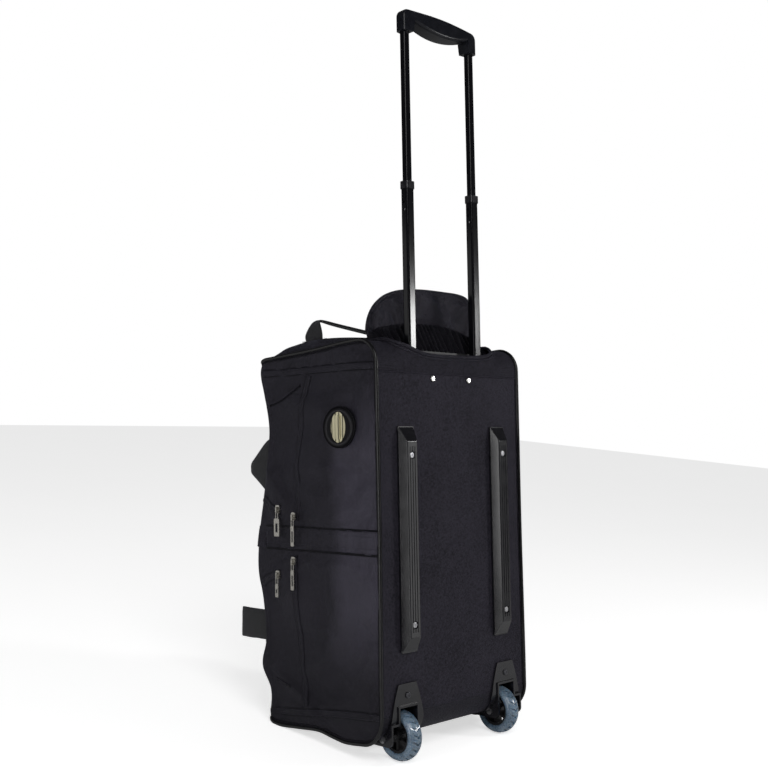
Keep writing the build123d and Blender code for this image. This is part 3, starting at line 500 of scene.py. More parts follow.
def end_sag(x, y, z):
    """The upper end slopes down to the front; the lower edge hangs in a soft wave beside the wheels."""
    beside_wheels = lerp(smoothstep(0.125, 0.146, abs(x)), 1.0, smoothstep(0.11, 0.17, y))
    low = curve_value(BOTTOM_WAVE, y / MM) * MM * smoothstep(BOTTOM + 0.07, BOTTOM, z) * beside_wheels
    high = curve_value(TOP_SLOPE, y / MM) * MM * smoothstep(TOP - 0.12, TOP, z)
    return low + high


def build_sheet(name, us, vs, point, material, keep=None):
    """Quad sheet over two lists of grid lines; keep(u, v) says which cells stay."""
    grid = [[point(u, v) for u in us] for v in vs]
    width = len(us)
    points = [p for row in grid for p in row]
    along = [0.0]
    middle = grid[len(vs) // 2]
    for a, b in zip(middle, middle[1:]):
        along.append(along[-1] + (b - a).length)
    centre = width // 2
    up = [0.0]
    for a, b in zip(grid, grid[1:]):
        up.append(up[-1] + (b[centre] - a[centre]).length)
    uvs = [(along[i], up[j]) for j in range(len(vs)) for i in range(width)]
    faces = []
    for j in range(len(vs) - 1):
        for i in range(width - 1):
            u, v = (us[i] + us[i + 1]) / 2, (vs[j] + vs[j + 1]) / 2
            if keep is None or keep(u, v):
                a = j * width + i
                faces.append((a, a + 1, a + 1 + width, a + width))
    used = sorted(set(i for f in faces for i in f))
    new_index = {old: new for new, old in enumerate(used)}
    faces = [tuple(new_index[i] for i in f) for f in faces]
    piece = new_mesh(name, [points[i] for i in used], faces, material, [uvs[i] for i in used])
    piece["grid_u"] = [float(us[i % width]) for i in used]
    piece["grid_v"] = [float(vs[i // width]) for i in used]
    return piece


def simulate(piece, pins, frames=22, pressure=0.0, swell=0.02, bending=0.6, stiffness=18.0):
    """Let a sheet settle as cloth, held where pins(u, v) is 1, then keep the result."""
    us, vs = list(piece["grid_u"]), list(piece["grid_v"])
    group = piece.vertex_groups.new(name="pin")
    for index, (u, v) in enumerate(zip(us, vs)):
        weight = pins(u, v)
        if weight > 0:
            group.add([index], weight, "REPLACE")
    cloth = piece.modifiers.new("cloth", "CLOTH")
    settings = cloth.settings
    settings.quality = 6
    settings.mass = 0.15
    settings.tension_stiffness = settings.compression_stiffness = stiffness
    settings.shear_stiffness = 6
    settings.bending_stiffness = bending
    settings.vertex_group_mass = "pin"
    settings.shrink_min = settings.shrink_max = -swell
    settings.effector_weights.gravity = 0
    if pressure:
        settings.use_pressure = True
        settings.uniform_pressure_force = pressure
    cloth.point_cache.frame_end = frames
    scene = bpy.context.scene
    for number in range(1, frames + 1):
        scene.frame_set(number)
    apply_modifiers(piece)
    scene.frame_set(1)
    return piece


def cap_moves(piece, rest, limit, allowed=None):
    """Keep each point within a distance of where it started, and inside an allowed region."""
    for vertex, start in zip(piece.data.vertices, rest):
        move = vertex.co - start
        if move.length > limit:
            vertex.co = start + move * (limit / move.length)
        if allowed is not None:
            vertex.co = allowed(vertex.co)
    piece.data.update()


# ---- one long panel wraps the left side, the front and the right side ----
SIDE_RUN = DEPTH
WRAP_LENGTH = 2 * DEPTH + 2 * HALF_WIDTH


def wrap_box_point(u, z):
    """Place on the plain box at a distance u round the sides and front, from the left back edge."""
    if u <= SIDE_RUN:
        return -HALF_WIDTH, u, z
    if u <= SIDE_RUN + 2 * HALF_WIDTH:
        return -HALF_WIDTH + (u - SIDE_RUN), DEPTH, z
    return HALF_WIDTH, WRAP_LENGTH - u, z


def front_crown(x, z):
    """How far the front stands out beyond its profile."""
    across = max(0.0, 1 - (x / HALF_WIDTH) ** 2)
    ends = smoothstep(BOTTOM, BOTTOM + 0.08, z) * smoothstep(TOP, TOP - 0.08, z)
    return 5 * MM * across ** 0.6 * ends


def zip_valley(x, z):
    """How much the front is drawn in to the straight line of the middle zip."""
    ends = smoothstep(BOTTOM, BOTTOM + 0.03, z) * smoothstep(TOP, TOP - 0.03, z)
    return ends * smoothstep(0.055, 0.010, abs(x))


def side_hollow(y, z):
    """Soft hollows of a side panel and the puckers drawn in by its piping, measured inwards."""
    edge = max(0.0, min(y / 0.05, (DEPTH - y) / 0.05, (z - BOTTOM) / 0.06, (TOP - z) / 0.06, 1.0))
    band = math.exp(-((z - (BAND_LOW + BAND_HIGH) / 2) / 0.030) ** 2)
    drape = 0.9 * MM * (noise.noise(Vector((y * 14, z * 9, 0.3))) + 0.6)
    near = math.exp(-(y / 0.022) ** 2) * smoothstep(0, 0.006, y)
    pucker = 1.1 * MM * near * (0.5 + noise.noise(Vector((y * 25, z * 75 + y * 60, 1.7))))
    return (0.8 * MM * band + max(0.0, drape)) * edge + max(0.0, pucker)


def wrap_point(u, z):
    """Place on the finished shape of the wrap panel."""
    x, y, z = wrap_box_point(u, z)
    place = bag_point(x, y, z)
    on_side = abs(x) > HALF_WIDTH - ON_WALL
    if on_side:
        place.x -= math.copysign(side_hollow(y, z), x)
    place.y += front_crown(x, z) * smoothstep(DEPTH - 0.06, DEPTH, y)
    if not on_side:
        place.y = lerp(place.y, DEPTH - 0.7 * MM, zip_valley(x, z))
    return place


def in_opening(u, z):
    """Whether a place on the wrap is inside the main opening."""
    x, y, z = wrap_box_point(u, z)
    return y > DEPTH - ON_WALL and abs(x) < OPENING_HALF and OPENING_LOW < z < OPENING_HIGH


def wrap_pins(u, z):
    """Edges and sewn bands hold still; the cloth between them is free."""
    x, y, z = wrap_box_point(u, z)
    if min(u, WRAP_LENGTH - u, z - BOTTOM, TOP - z) < SEAM_HOLD:
        return 1.0
    if min(abs(u - SIDE_RUN), abs(WRAP_LENGTH - SIDE_RUN - u)) < SEAM_HOLD:
        return 1.0
    if y > DEPTH - ON_WALL and abs(x) < OPENING_HALF + 6 * MM:
        if OPENING_LOW - 6 * MM < z < OPENING_HIGH + 6 * MM:
            return 1.0
    if min(abs(z - BAND_LOW), abs(z - BAND_HIGH)) < 3 * MM and y < DEPTH - ON_WALL:
        return 1.0
    return 0.0


def make_wrap():
    """Left side, front and right side in one sheet, cut out at the main opening."""
    stops_u = [0.0, SIDE_RUN, SIDE_RUN + HALF_WIDTH - OPENING_HALF, SIDE_RUN + HALF_WIDTH + OPENING_HALF,
               SIDE_RUN + 2 * HALF_WIDTH, WRAP_LENGTH]
    stops_z = [BOTTOM, OPENING_LOW, BAND_LOW, BAND_HIGH, OPENING_HIGH, TOP]
    piece = build_sheet("body_wrap", grid_lines(stops_u, GRID_STEP), grid_lines(stops_z, GRID_STEP),
                        wrap_point, NYLON, lambda u, z: not in_opening(u, z))
    rest = [v.co.copy() for v in piece.data.vertices]
    simulate(piece, wrap_pins, swell=0.018)

    def inside(co):
        co.x = max(co.x, -HALF_WIDTH - 1.1 * MM)
        return co
    cap_moves(piece, rest, 5 * MM, inside)
    thicken(piece, CLOTH_THICK, 1.0, 1)
    return ride_bag(piece, "nylon_cloth", "side_panel_left", "side_panel_right", "front_panel")


def make_pocket_backing():
    """Lining of the flat side pockets, a little inside the left side panel."""
    inward = Vector((6.5 * MM, 0, 0))
    ys, zs = spaced(0.152, 0.240, 8 * MM), spaced(0.052, 0.535, 8 * MM)
    piece = build_sheet("pocket_backing", ys, zs, lambda y, z: wrap_point(y, z) + inward, LINING)
    thicken(piece, 0.6 * MM, 1.0, 1)
    ride_bag(piece, "lining_cloth", "pocket_linings")


def make_painted_border_shadows():
    """Painted shadow: dark cords of lining cloth where the piping seam draws the cloth in, on the wrap and
    along both edges of the back.
    """
    around = tube_mesh("painted_border_shadow", wrap_border(4.0 * MM), 1.15 * MM, LINING, closed=True, sides=8)
    ride_bag(around, "nylon_cloth")
    heights = spaced(ring_at(LOWER_SEAM_Z), ring_at(SEAM_Z), 6 * MM)
    for side in (-1, 1):
        edge = side * (HALF_WIDTH - 3.4 * MM)
        path = [ring_point(edge, s) for s in heights]
        # Painted shadow along each edge of the back.
        groove = tube_mesh("painted_back_shadow_" + side_name(side), path, 0.8 * MM, LINING, sides=8)
        ride_bag(groove, "nylon_cloth")


def outward(place):
    """Diagonal direction away from the middle of the bag at one of its edges."""
    inset = 20 * MM
    walls = ((-HALF_WIDTH, HALF_WIDTH), (0, DEPTH), (BOTTOM, TOP))
    inner = Vector([max(low + inset, min(high - inset, at)) for at, (low, high) in zip(place, walls)])
    return (place - inner).normalized()


def wrap_border(inset=0.0):
    """Closed line at an inset from the edge of the wrap panel; the piping follows the edge itself."""
    step = 5 * MM
    low, high = BOTTOM + inset, TOP - inset
    first, last = inset, WRAP_LENGTH - inset
    loop = [wrap_point(first, z) for z in spaced(low, high, step)]
    loop += [wrap_point(u, high) for u in spaced(first, last, step)[1:]]
    loop += [wrap_point(last, z) for z in spaced(high, low, step)[1:]]
    loop += [wrap_point(u, low) for u in spaced(last, first, step)[1:-1]]
    return loop


# ================================================================ tubes, strips, stitches
def frames_along(points, closed=False):
    """Tangent at each point of a path."""
    count = len(points)
    tangents = []
    for i in range(count):
        a = points[i - 1] if i > 0 or closed else points[i]
        b = points[(i + 1) % count] if i < count - 1 or closed else points[i]
        tangents.append((b - a).normalized())
    return tangents


def tube_mesh(name, points, radius, material, closed=False, sides=10):
    """Round cord along a path; radius may be a number or a function of the share of the length."""
    tangents = frames_along(points, closed)
    count = len(points)
    normal = tangents[0].orthogonal().normalized()
    verts, uvs = [], []
    length = 0.0
    for i, (p, t) in enumerate(zip(points, tangents)):
        normal = (normal - t * normal.dot(t)).normalized()
        other = t.cross(normal)
        r = radius(i / (count - 1)) if callable(radius) else radius
        if i:
            length += (p - points[i - 1]).length
        for k in range(sides):
            angle = 2 * math.pi * k / sides
            verts.append(p + (normal * math.cos(angle) + other * math.sin(angle)) * r)
            uvs.append((k / sides * 2 * math.pi * r, length))
    faces = []
    rings = count if closed else count - 1
    for i in range(rings):
        for k in range(sides):
            a, b = i * sides + k, i * sides + (k + 1) % sides
            j = (i + 1) % count
            faces.append((a, b, j * sides + (k + 1) % sides, j * sides + k))
    if not closed:
        faces.append(tuple(reversed(range(sides))))
        faces.append(tuple(range((count - 1) * sides, count * sides)))
    return new_mesh(name, verts, faces, material, uvs)


def strip_mesh(name, points, normals, width, thickness, material, lift=0.0, crown=0.0):
    """Flat strap along a path, with rounded edges; width is one number or one per point."""
    tangents = frames_along(points)
    section = []
    widths = width if isinstance(width, list) else [width] * len(points)
    for share in (-1, -0.94, -0.6, 0, 0.6, 0.94, 1):
        height = thickness * (1 - max(0, abs(share) - 0.9) * 5) + crown * (1 - share * share)
        section.append((share, lift + height))
    section += [(share, lift) for share in (1, 0.6, 0, -0.6, -1)]
    verts, uvs = [], []
    size = len(section)
    length = 0.0
    for i, (p, tan, n) in enumerate(zip(points, tangents, normals)):
        n = (n - tan * n.dot(tan)).normalized()
        side = tan.cross(n)
        if i:
            length += (p - points[i - 1]).length
        for share, up in section:
            across = share * widths[i] / 2
            verts.append(p + side * across + n * up)
            uvs.append((across, length))
    faces = []
    for i in range(len(points) - 1):
        for k in range(size):
            a, b = i * size + k, i * size + (k + 1) % size
            faces.append((a, a + size, b + size, b))
    faces.append(tuple(range(size)))
    faces.append(tuple(reversed(range((len(points) - 1) * size, len(points) * size))))
    return new_mesh(name, verts, faces, material, uvs)


def resample(points, step):
    """Evenly spaced points along a polyline."""
    total = [0.0]
    for a, b in zip(points, points[1:]):
        total.append(total[-1] + (b - a).length)
    out, k = [], 0
    for distance in spaced(0, total[-1], step):
        while k < len(points) - 2 and total[k + 1] < distance:
            k += 1
        span = max(total[k + 1] - total[k], 1e-9)
        out.append(points[k].lerp(points[k + 1], (distance - total[k]) / span))
    return out


def rounded_path(points, step, passes=3):
    """Polyline with its corners rounded, evenly resampled."""
    points = [Vector(p) for p in points]
    for _ in range(passes):
        cut = [points[0]]
        for a, b in zip(points, points[1:]):
            cut += [a.lerp(b, 0.25), a.lerp(b, 0.75)]
        cut.append(points[-1])
        points = cut
    return resample(points, step)


class Surface:
    """A finished sheet that trims are laid on."""

    def __init__(self, piece):
        mesh = piece.data
        self.tree = BVHTree.FromPolygons([v.co.copy() for v in mesh.vertices],
                                         [tuple(p.vertices) for p in mesh.polygons])

    def hit(self, start, direction):
        place, normal, _, _ = self.tree.ray_cast(Vector(start), Vector(direction))
        if place is None:
            return None
        if normal.dot(Vector(direction)) > 0:
            normal = -normal
        return place, normal

    def lay(self, path, direction):
        """Points and normals where a path, moved along direction, lands on the sheet."""
        back = Vector(direction) * -0.2
        hits = [self.hit(p + back, direction) for p in path]
        hits = [h for h in hits if h]
        return [h[0] for h in hits], [h[1] for h in hits]


def smooth_normals(normals, reach=4):
    """Average each normal with its neighbours."""
    out = []
    for i in range(len(normals)):
        total = Vector((0, 0, 0))
        for n in normals[max(0, i - reach):i + reach + 1]:
            total += n
        out.append(total.normalized())
    return out


def shift(piece, x):
    """Move the points of a piece's mesh sideways."""
    piece.data.transform(Matrix.Translation((x, 0, 0)))


def join_pieces(name, pieces):
    """One object from several meshes that share a material."""
    mesh = bmesh.new()
    for piece in pieces:
        mesh.from_mesh(piece.data)
    data = bpy.data.meshes.new(name)
    mesh.to_mesh(data)
    mesh.free()
    data.materials.append(pieces[0].data.materials[0])
    data.polygons.foreach_set("use_smooth", [True] * len(data.polygons))
    for piece in pieces:
        old = piece.data
        bpy.data.objects.remove(piece)
        bpy.data.meshes.remove(old)
    joined = bpy.data.objects.new(name, data)
    bpy.context.scene.collection.objects.link(joined)
    return joined


def stitch_row(name, points, normals, offset=0.0, pitch=3.4 * MM, stitch=2.3 * MM, radius=0.38 * MM):
    """A row of thread stitches along a laid path."""
    tangents = frames_along(points)
    verts, faces = [], []
    count = max(2, int((len(points) - 1) * (points[1] - points[0]).length / pitch))
    for k in range(count):
        place = (k + 0.5) / count * (len(points) - 1)
        i = min(int(place), len(points) - 2)
        p = points[i].lerp(points[i + 1], place - i)
        tan, n = tangents[i], normals[i]
        side = tan.cross(n).normalized()
        centre = p + side * offset + n * radius * 0.7
        base = len(verts)
        for along, size in ((-0.5, 0.35), (-0.25, 1.0), (0.25, 1.0), (0.5, 0.35)):
            for j in range(5):
                angle = 2 * math.pi * j / 5
                verts.append(centre + tan * (along * stitch)
                             + (side * math.cos(angle) + n * math.sin(angle)) * radius * size)
        for ring in range(3):
            for j in range(5):
                a = base + ring * 5 + j
                b = base + ring * 5 + (j + 1) % 5
                faces.append((a, b, b + 5, a + 5))
        faces.append(tuple(base + j for j in reversed(range(5))))
        faces.append(tuple(base + 15 + j for j in range(5)))
    return new_mesh(name, verts, faces, THREAD, [(v.y, v.z) for v in verts])


# ================================================================ ring panels: back, yoke, ends
BACK_SWELL = 1.2 * MM
RING_BOTTOM = DEPTH
RING_BACK = DEPTH + (TOP - BOTTOM)
RING_LENGTH = RING_BACK + DEPTH
WELL_X = (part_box("tyre_left")[0].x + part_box("tyre_left")[1].x) / 2
WELL_HALF = 19.5 * MM
WELL_TOP = 78 * MM
WELL_DEPTH = 53 * MM
HOLLOW_REACH = 32 * MM
HOLLOW_TOP = 54 * MM
HOLLOW_DEPTH = 31 * MM


def ring_box_point(x, s):
    """Place on the plain box at a distance s round the bottom, back and top, from the lower front edge."""
    if s <= RING_BOTTOM:
        return x, DEPTH - s, BOTTOM
    if s <= RING_BACK:
        return x, 0.0, BOTTOM + (s - RING_BOTTOM)
    return x, s - RING_BACK, TOP


def ring_at(z):
    """Distance round the ring of a height on the back panel."""
    return RING_BOTTOM + (z - BOTTOM)


def top_crown(x, y):
    """How far the padded upper end stands up."""
    across = max(0.0, 1 - (x / HALF_WIDTH) ** 2) ** 0.35
    return 23 * MM * across * smoothstep(FLAP_EDGE_Y - 0.01, 0.14, y) * smoothstep(DEPTH, DEPTH - 0.06, y)


def ring_point(x, s):
    """Place on the finished shape of the ring panels."""
    _, y, z = ring_box_point(x, s)
    place = bag_point(x, y, z)
    if s > RING_BACK:
        place.z += top_crown(x, y)
    elif s < RING_BOTTOM:
        edge = smoothstep(0, 0.05, min(y, DEPTH - y))
        place.z += 3 * MM * edge * max(0.0, 1 - (x / HALF_WIDTH) ** 4)
    else:
        edge = max(0.0, 1 - (x / HALF_WIDTH) ** 6) * smoothstep(0, 0.03, min(z - BOTTOM, TOP - z))
        place.y += BACK_SWELL * edge * (0.6 + 0.4 * noise.noise(Vector((x * 16, z * 12, 2.2))))
    return place


def in_well(x, s):
    """Whether a place on the ring is cut away for a wheel and its housing."""
    _, y, z = ring_box_point(x, s)
    beside = abs(x) - abs(WELL_X)
    in_slot = abs(beside) < WELL_HALF and z < WELL_TOP and y < WELL_DEPTH
    return in_slot or (0 < beside < HOLLOW_REACH and z < HOLLOW_TOP and y < HOLLOW_DEPTH)


def ring_pins(x, s):
    """Seams and the back hold still; the end panels are free."""
    if HALF_WIDTH - abs(x) < SEAM_HOLD or s < SEAM_HOLD or s > RING_LENGTH - SEAM_HOLD:
        return 1.0
    return 1.0 if RING_BOTTOM - 0.06 < s < RING_BACK else 0.0


X_STOPS = [-HALF_WIDTH, WELL_X - HOLLOW_REACH, WELL_X - WELL_HALF, WELL_X + WELL_HALF,
           -WELL_X - WELL_HALF, -WELL_X + WELL_HALF, -WELL_X + HOLLOW_REACH, HALF_WIDTH]


def make_ring_panel(name, material, stops_x, stops_s, step, node, relax=False):
    """One panel of the ring, cut round the wheel wells, and settled as cloth where asked."""
    piece = build_sheet(name, grid_lines(stops_x, step), grid_lines(stops_s, step), ring_point, material,
                        lambda x, s: not in_well(x, s))
    if relax:
        rest = [v.co.copy() for v in piece.data.vertices]
        simulate(piece, ring_pins, swell=0.02)
        cap_moves(piece, rest, 6 * MM)
    thicken(piece, CLOTH_THICK, -1.0, 1)
    return ride_bag(piece, "nylon_cloth", node)


# ---- pocket yoke with its curved lip ----
LIP_RUN = [(-150, 103), (-120, 103), (-114, 74), (-108, 54), (-95, 41), (-70, 31), (-43, 26.5), (0, 26),
           (40, 27), (75, 30), (92, 38), (101, 50), (106, 72), (112, 103), (150, 103)]
LIP_LEFT, LIP_RIGHT = -119 * MM, 111 * MM


def lip_reach(x):
    """Length of the yoke from its seam to its lip."""
    return curve_value(LIP_RUN, x / MM) * MM


def yoke_point(x, share):
    """Place on the yoke: flat behind the tubes, and wrapped onto the bag beside them."""
    s = ring_at(SEAM_Z) + lip_reach(x) * share
    place = ring_point(x, s)
    middle = smoothstep(0.118, 0.078, abs(x + 0.004))
    flat = Vector((x, 0.6 * MM, SEAM_Z + lip_reach(x) * share))
    flat.y += 1.2 * MM * math.sin(share * math.pi)
    return place.lerp(flat, middle)


def lip_path(share=1.0, inset=0.0):
    """Line across the yoke at a share of its length, along its lip at 1."""
    return [yoke_point(x, share) for x in spaced(LIP_LEFT + inset, LIP_RIGHT - inset, 2 * MM)]


def make_yoke():
    """Yoke of the handle pocket, with its rolled lip and a welt below it."""
    xs = grid_lines([-HALF_WIDTH, -0.122, -0.09, 0.09, 0.115, HALF_WIDTH], 3 * MM)
    piece = build_sheet("pocket_yoke", xs, spaced(0, 1, 1 / 26), yoke_point, YOKE_NYLON)
    thicken(piece, CLOTH_THICK, -1.0, 1)
    ride_bag(piece, "nylon_cloth", "handle_pocket_panel")
    lip = tube_mesh("pocket_lip", lip_path(), 2.5 * MM, PADDED, sides=12)
    welt = tube_mesh("pocket_lip_welt", lip_path(0.84, 2 * MM), 1.5 * MM, PADDED, sides=10)
    for trim in (lip, welt):
        ride_bag(trim, "piping_vinyl")


def make_seam_fold():
    """Folded seam between the back panel and the yoke."""
    reach = HALF_WIDTH - 3 * MM
    proud = Vector((0, -0.3 * MM, 0))
    path = [ring_point(x, ring_at(SEAM_Z) - 0.5 * MM) + proud for x in spaced(-reach, reach, 4 * MM)]
    fold = tube_mesh("yoke_seam", path, 0.9 * MM, BACK_NYLON, sides=8)
    ride_bag(fold, "nylon_cloth")


# ================================================================ front covers
def make_main_flap(side):
    """Half of the main opening's cover, from its sewn edge to the middle zip."""
    name = side_name(side)
    body = "main_flap_" + name
    edge, middle = OPENING_HALF + 3 * MM, 0.8 * MM
    us = spaced(-edge, -middle, GRID_STEP) if side < 0 else spaced(middle, edge, GRID_STEP)
    zs = spaced(OPENING_LOW + 2 * MM, OPENING_HIGH - 2 * MM, GRID_STEP)

    def point(x, z):
        place = wrap_point(SIDE_RUN + HALF_WIDTH + x, z)
        lift = 1.6 * MM * smoothstep(OPENING_HALF + 3 * MM, OPENING_HALF - 4 * MM, abs(x))
        place.y += lift - 0.8 * MM
        return place

    def pins(x, z):
        inside = OPENING_LOW + 6 * MM < z < OPENING_HIGH - 6 * MM
        return 0.0 if inside and 7 * MM < abs(x) < OPENING_HALF - SEAM_HOLD else 1.0
    piece = build_sheet("cover_" + name, us, zs, point, NYLON)
    rest = [v.co.copy() for v in piece.data.vertices]
    simulate(piece, pins)
    cap_moves(piece, rest, 4 * MM)
    surface = Surface(piece)
    thicken(piece, 1.6 * MM, 1.0, 1)
    zip_zs = spaced(OPENING_LOW + 4 * MM, OPENING_HIGH - 4 * MM, 1.3 * MM)
    column = [Vector((side * 1.0 * MM, DEPTH, z)) for z in zip_zs]
    points, normals = surface.lay(column, BACK_DIRECTION)
    tape = strip_mesh("zip_tape_" + name, points[::4], smooth_normals(normals, 6)[::4], 13 * MM,
                      0.5 * MM, THREAD, 0.1 * MM)
    shift(tape, side * 6.5 * MM)
    coils = coil_row("zip_teeth_" + name, points, smooth_normals(normals, 8), 3.0 * MM, 0.75 * MM)
    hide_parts(body)
    for part, slot in ((piece, "nylon_cloth"), (tape, "zip_coil"), (coils, "zip_coil")):
        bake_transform(part)


def coil_row(name, points, normals, width, radius):
    """Interlocked zip coils: one small crowned bar per point."""
    verts, faces = [], []
    tangents = frames_along(points)
    for p, n, t in zip(points, normals, tangents):
        side = t.cross(n).normalized()
        base = len(verts)
        for share, size in ((-0.5, 0.55), (-0.3, 1.0), (0.3, 1.0), (0.5, 0.55)):
            for k in range(6):
                angle = math.pi * k / 5
                rise = math.sin(angle) * radius * size + 0.3 * MM
                offset = t * (math.cos(angle) * radius * 0.75) + n * rise
                verts.append(p + side * (share * width) + offset)
        for ring in range(3):
            for k in range(5):
                a = base + ring * 6 + k
                faces.append((a, a + 1, a + 7, a + 6))
            faces.append((base + ring * 6 + 5, base + ring * 6, base + ring * 6 + 6, base + ring * 6 + 11))
        faces.append(tuple(base + k for k in reversed(range(6))))
        faces.append(tuple(base + 18 + k for k in range(6)))
    return new_mesh(name, verts, faces, COIL)


# ================================================================ side trims
UPPER_ZIP = [(176.5, 322), (172, 400), (165, 487), (147, 534)]
LOWER_ZIP = [(178, 272), (176, 200), (171, 120), (155, 57)]
UPPER_ARCH = [(253, 354), (240, 344), (222, 337), (207, 336)]
LOWER_ARCH = [(255, 226), (246, 233), (231, 239), (209, 243)]
UPPER_SLIT = [(238, 492), (215, 497), (190, 508), (167, 518)]
LOWER_SLIT = [(228, 88), (210, 84), (192, 81)]
TOP_SEAM = [(3, 537), (60, 539), (130, 540), (190, 540), (247, 541)]
BOTTOM_SEAM = [(3, 66), (50, 63), (100, 58), (160, 50), (216, 43), (247, 40)]


def lay_on_side(surface, points, side, step=2 * MM):
    """Lay a (y, z) path in millimetres on one side panel."""
    path = rounded_path([(side * HALF_WIDTH, y * MM, z * MM) for y, z in points], step)
    places, normals = surface.lay(path, (-side, 0, 0))
    return places, smooth_normals(normals, 5)


def side_name(side):
    """Name of the bag's side at negative or positive x."""
    return "left" if side < 0 else "right"


def ride_bag(piece, slot, *nodes_replaced):
    """Fix a piece to the bag's own body."""
    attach(piece, "bag")
    if nodes_replaced:
        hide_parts(*nodes_replaced)
    return piece


def make_stitches(name, places, normals, offsets, proud):
    """Stitch rows at offsets across a laid path, moved out sideways."""
    rows = [stitch_row("row", places, normals, offset) for offset in offsets]
    stitches = join_pieces(name, rows)
    shift(stitches, proud)
    ride_bag(stitches, "nylon_cloth")


def make_painted_seam_shadow(name, places, normals, width):
    """Painted shadow: a dark strip of lining cloth showing past both edges of a sewn strip, where the
    stitching draws the cloth in.
    """
    painted_seam_shadow = strip_mesh(name + "_channel", places, normals, width + 3.2 * MM, 0.32 * MM, LINING)
    ride_bag(painted_seam_shadow, "nylon_cloth")


def make_band_edges(surface, side):
    """Shadow line under the upper and lower edge of the side band."""
    for label, z in (("low", BAND_LOW - 0.6 * MM), ("high", BAND_HIGH + 0.6 * MM)):
        places, normals = lay_on_side(surface, [(4, z / MM), (120, z / MM), (246, z / MM)], side)
        make_painted_seam_shadow("band_%s_%s" % (label, side_name(side)), places, normals, 0.2 * MM)


def make_zip(surface, name, points, side, node=None):
    """Closed pocket zip: coil between two welts, and a stitch row outside each welt."""
    places, normals = lay_on_side(surface, points, side, 1.3 * MM)
    wide, wide_normals = places[::3], normals[::3]
    label = name + "_" + side_name(side)
    # Painted shadow line along both edges of the welts.
    make_painted_seam_shadow(label, wide, wide_normals, 9.4 * MM)
    coil = coil_row(label + "_coil", places, normals, 1.6 * MM, 0.35 * MM)
    strips = []
    tangents = frames_along(wide)
    for sign in (-1, 1):
        piece = strip_mesh("welt", wide, wide_normals, 4.4 * MM, 0.5 * MM, NYLON, 0.0, 0.25 * MM)
        count = len(piece.data.vertices) // len(wide)
        for index, vertex in enumerate(piece.data.vertices):
            row = index // count
            across = tangents[row].cross(wide_normals[row]).normalized()
            vertex.co += across * (sign * 2.5 * MM)
        strips.append(piece)
    ride_bag(coil, "zip_coil", *([node] if node else []))
    ride_bag(join_pieces(label + "_welts", strips), "nylon_cloth")
    make_stitches(label + "_stitches", wide, wide_normals, (-3.6 * MM, 3.6 * MM), side * 0.5 * MM)


def make_band(surface, side):
    """Reinforcing band across the side, turned round the front corner, with double stitching."""
    places, normals = [], []
    start = 3 * MM
    end = SIDE_RUN + HALF_WIDTH - OPENING_HALF - 6 * MM
    middle = (BAND_LOW + BAND_HIGH) / 2
    for u in spaced(start, end, 4 * MM):
        x = wrap_box_point(u, middle)[0]
        target = wrap_point(u, middle)
        away = Vector((x, 0, 0)) if u < SIDE_RUN - 0.02 else Vector((x * 0.6, 0.2, 0))
        direction = -away.normalized()
        if side > 0:
            target.x, direction.x = -target.x, -direction.x
        hit = surface.hit(target - direction * 0.05, direction)
        if hit:
            places.append(hit[0])
            normals.append(hit[1])
    normals = smooth_normals(normals, 3)
    name = "band_" + side_name(side)
    band = strip_mesh(name, places, normals, BAND_HIGH - BAND_LOW, 0.9 * MM, NYLON, 0.1 * MM, 0.3 * MM)
    ride_bag(band, "nylon_cloth", *(["mid_bands"] if side < 0 else []))
    make_band_edges(surface, side)
    offsets = (-14.6 * MM, -8.2 * MM, 8.2 * MM, 14.6 * MM)
    make_stitches("band_stitches_" + side_name(side), places, normals, offsets, side * 1.0 * MM)


def make_side_seam(surface, name, points, side):
    """Lapped seam: a low fold with a stitch row along each edge."""
    places, normals = lay_on_side(surface, points, side)
    label = name + "_" + side_name(side)
    fold = strip_mesh(label, places, normals, 9 * MM, 0.5 * MM, NYLON, 0.0, 0.6 * MM)
    ride_bag(fold, "nylon_cloth")
    # Painted shadow line along both edges of the fold.
    make_painted_seam_shadow(label, places, normals, 9 * MM)
    make_stitches(label + "_stitches", places, normals, (-3.3 * MM, 3.3 * MM), side * 0.8 * MM)


def make_slit(surface, name, points, side):
    """Dark lip of a slanted slip opening: a rolled fold over a shadow gap."""
    places, normals = lay_on_side(surface, points, side)
    label = name + "_" + side_name(side)
    gap = strip_mesh(label + "_gap", places, normals, 3.2 * MM, 0.3 * MM, LINING, 0.1 * MM)
    roll = tube_mesh(label + "_roll", [p + Vector((side * 0.9 * MM, 0, 2.2 * MM)) for p in places],
                     lambda t: (0.5 + 1.1 * math.sin(math.pi * t)) * MM, NYLON)
    ride_bag(gap, "lining_cloth")
    ride_bag(roll, "nylon_cloth")


# ================================================================ handle pocket: flap and gathered lining
FLAP_LOW, FLAP_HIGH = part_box("pocket_flap")
FLAP_FOOT_Z = FLAP_LOW.z
FLAP_Y = (FLAP_LOW.y + FLAP_HIGH.y) / 2
FLAP_CENTRE_X = 4 * MM
FLAP_OUTLINE = [(-115, 588), (-111, 603), (-102, 620), (-90, 633), (-72, 645), (-45, 654), (-3, 659),
                (50, 660), (92, 658), (108, 650), (118, 632), (123, 608), (124, 588)]
ARCH = [(-116, 586), (-95, 595), (-60, 602), (-20, 607), (30, 608), (75, 602), (105, 592), (124, 585)]


def flap_top(x):
    """Height of the flap's upper edge."""
    return curve_value(FLAP_OUTLINE, x / MM) * MM


def arch_height(x):
    """Height of the arch where the lining meets the padded part of the flap."""
    return curve_value(ARCH, x / MM) * MM


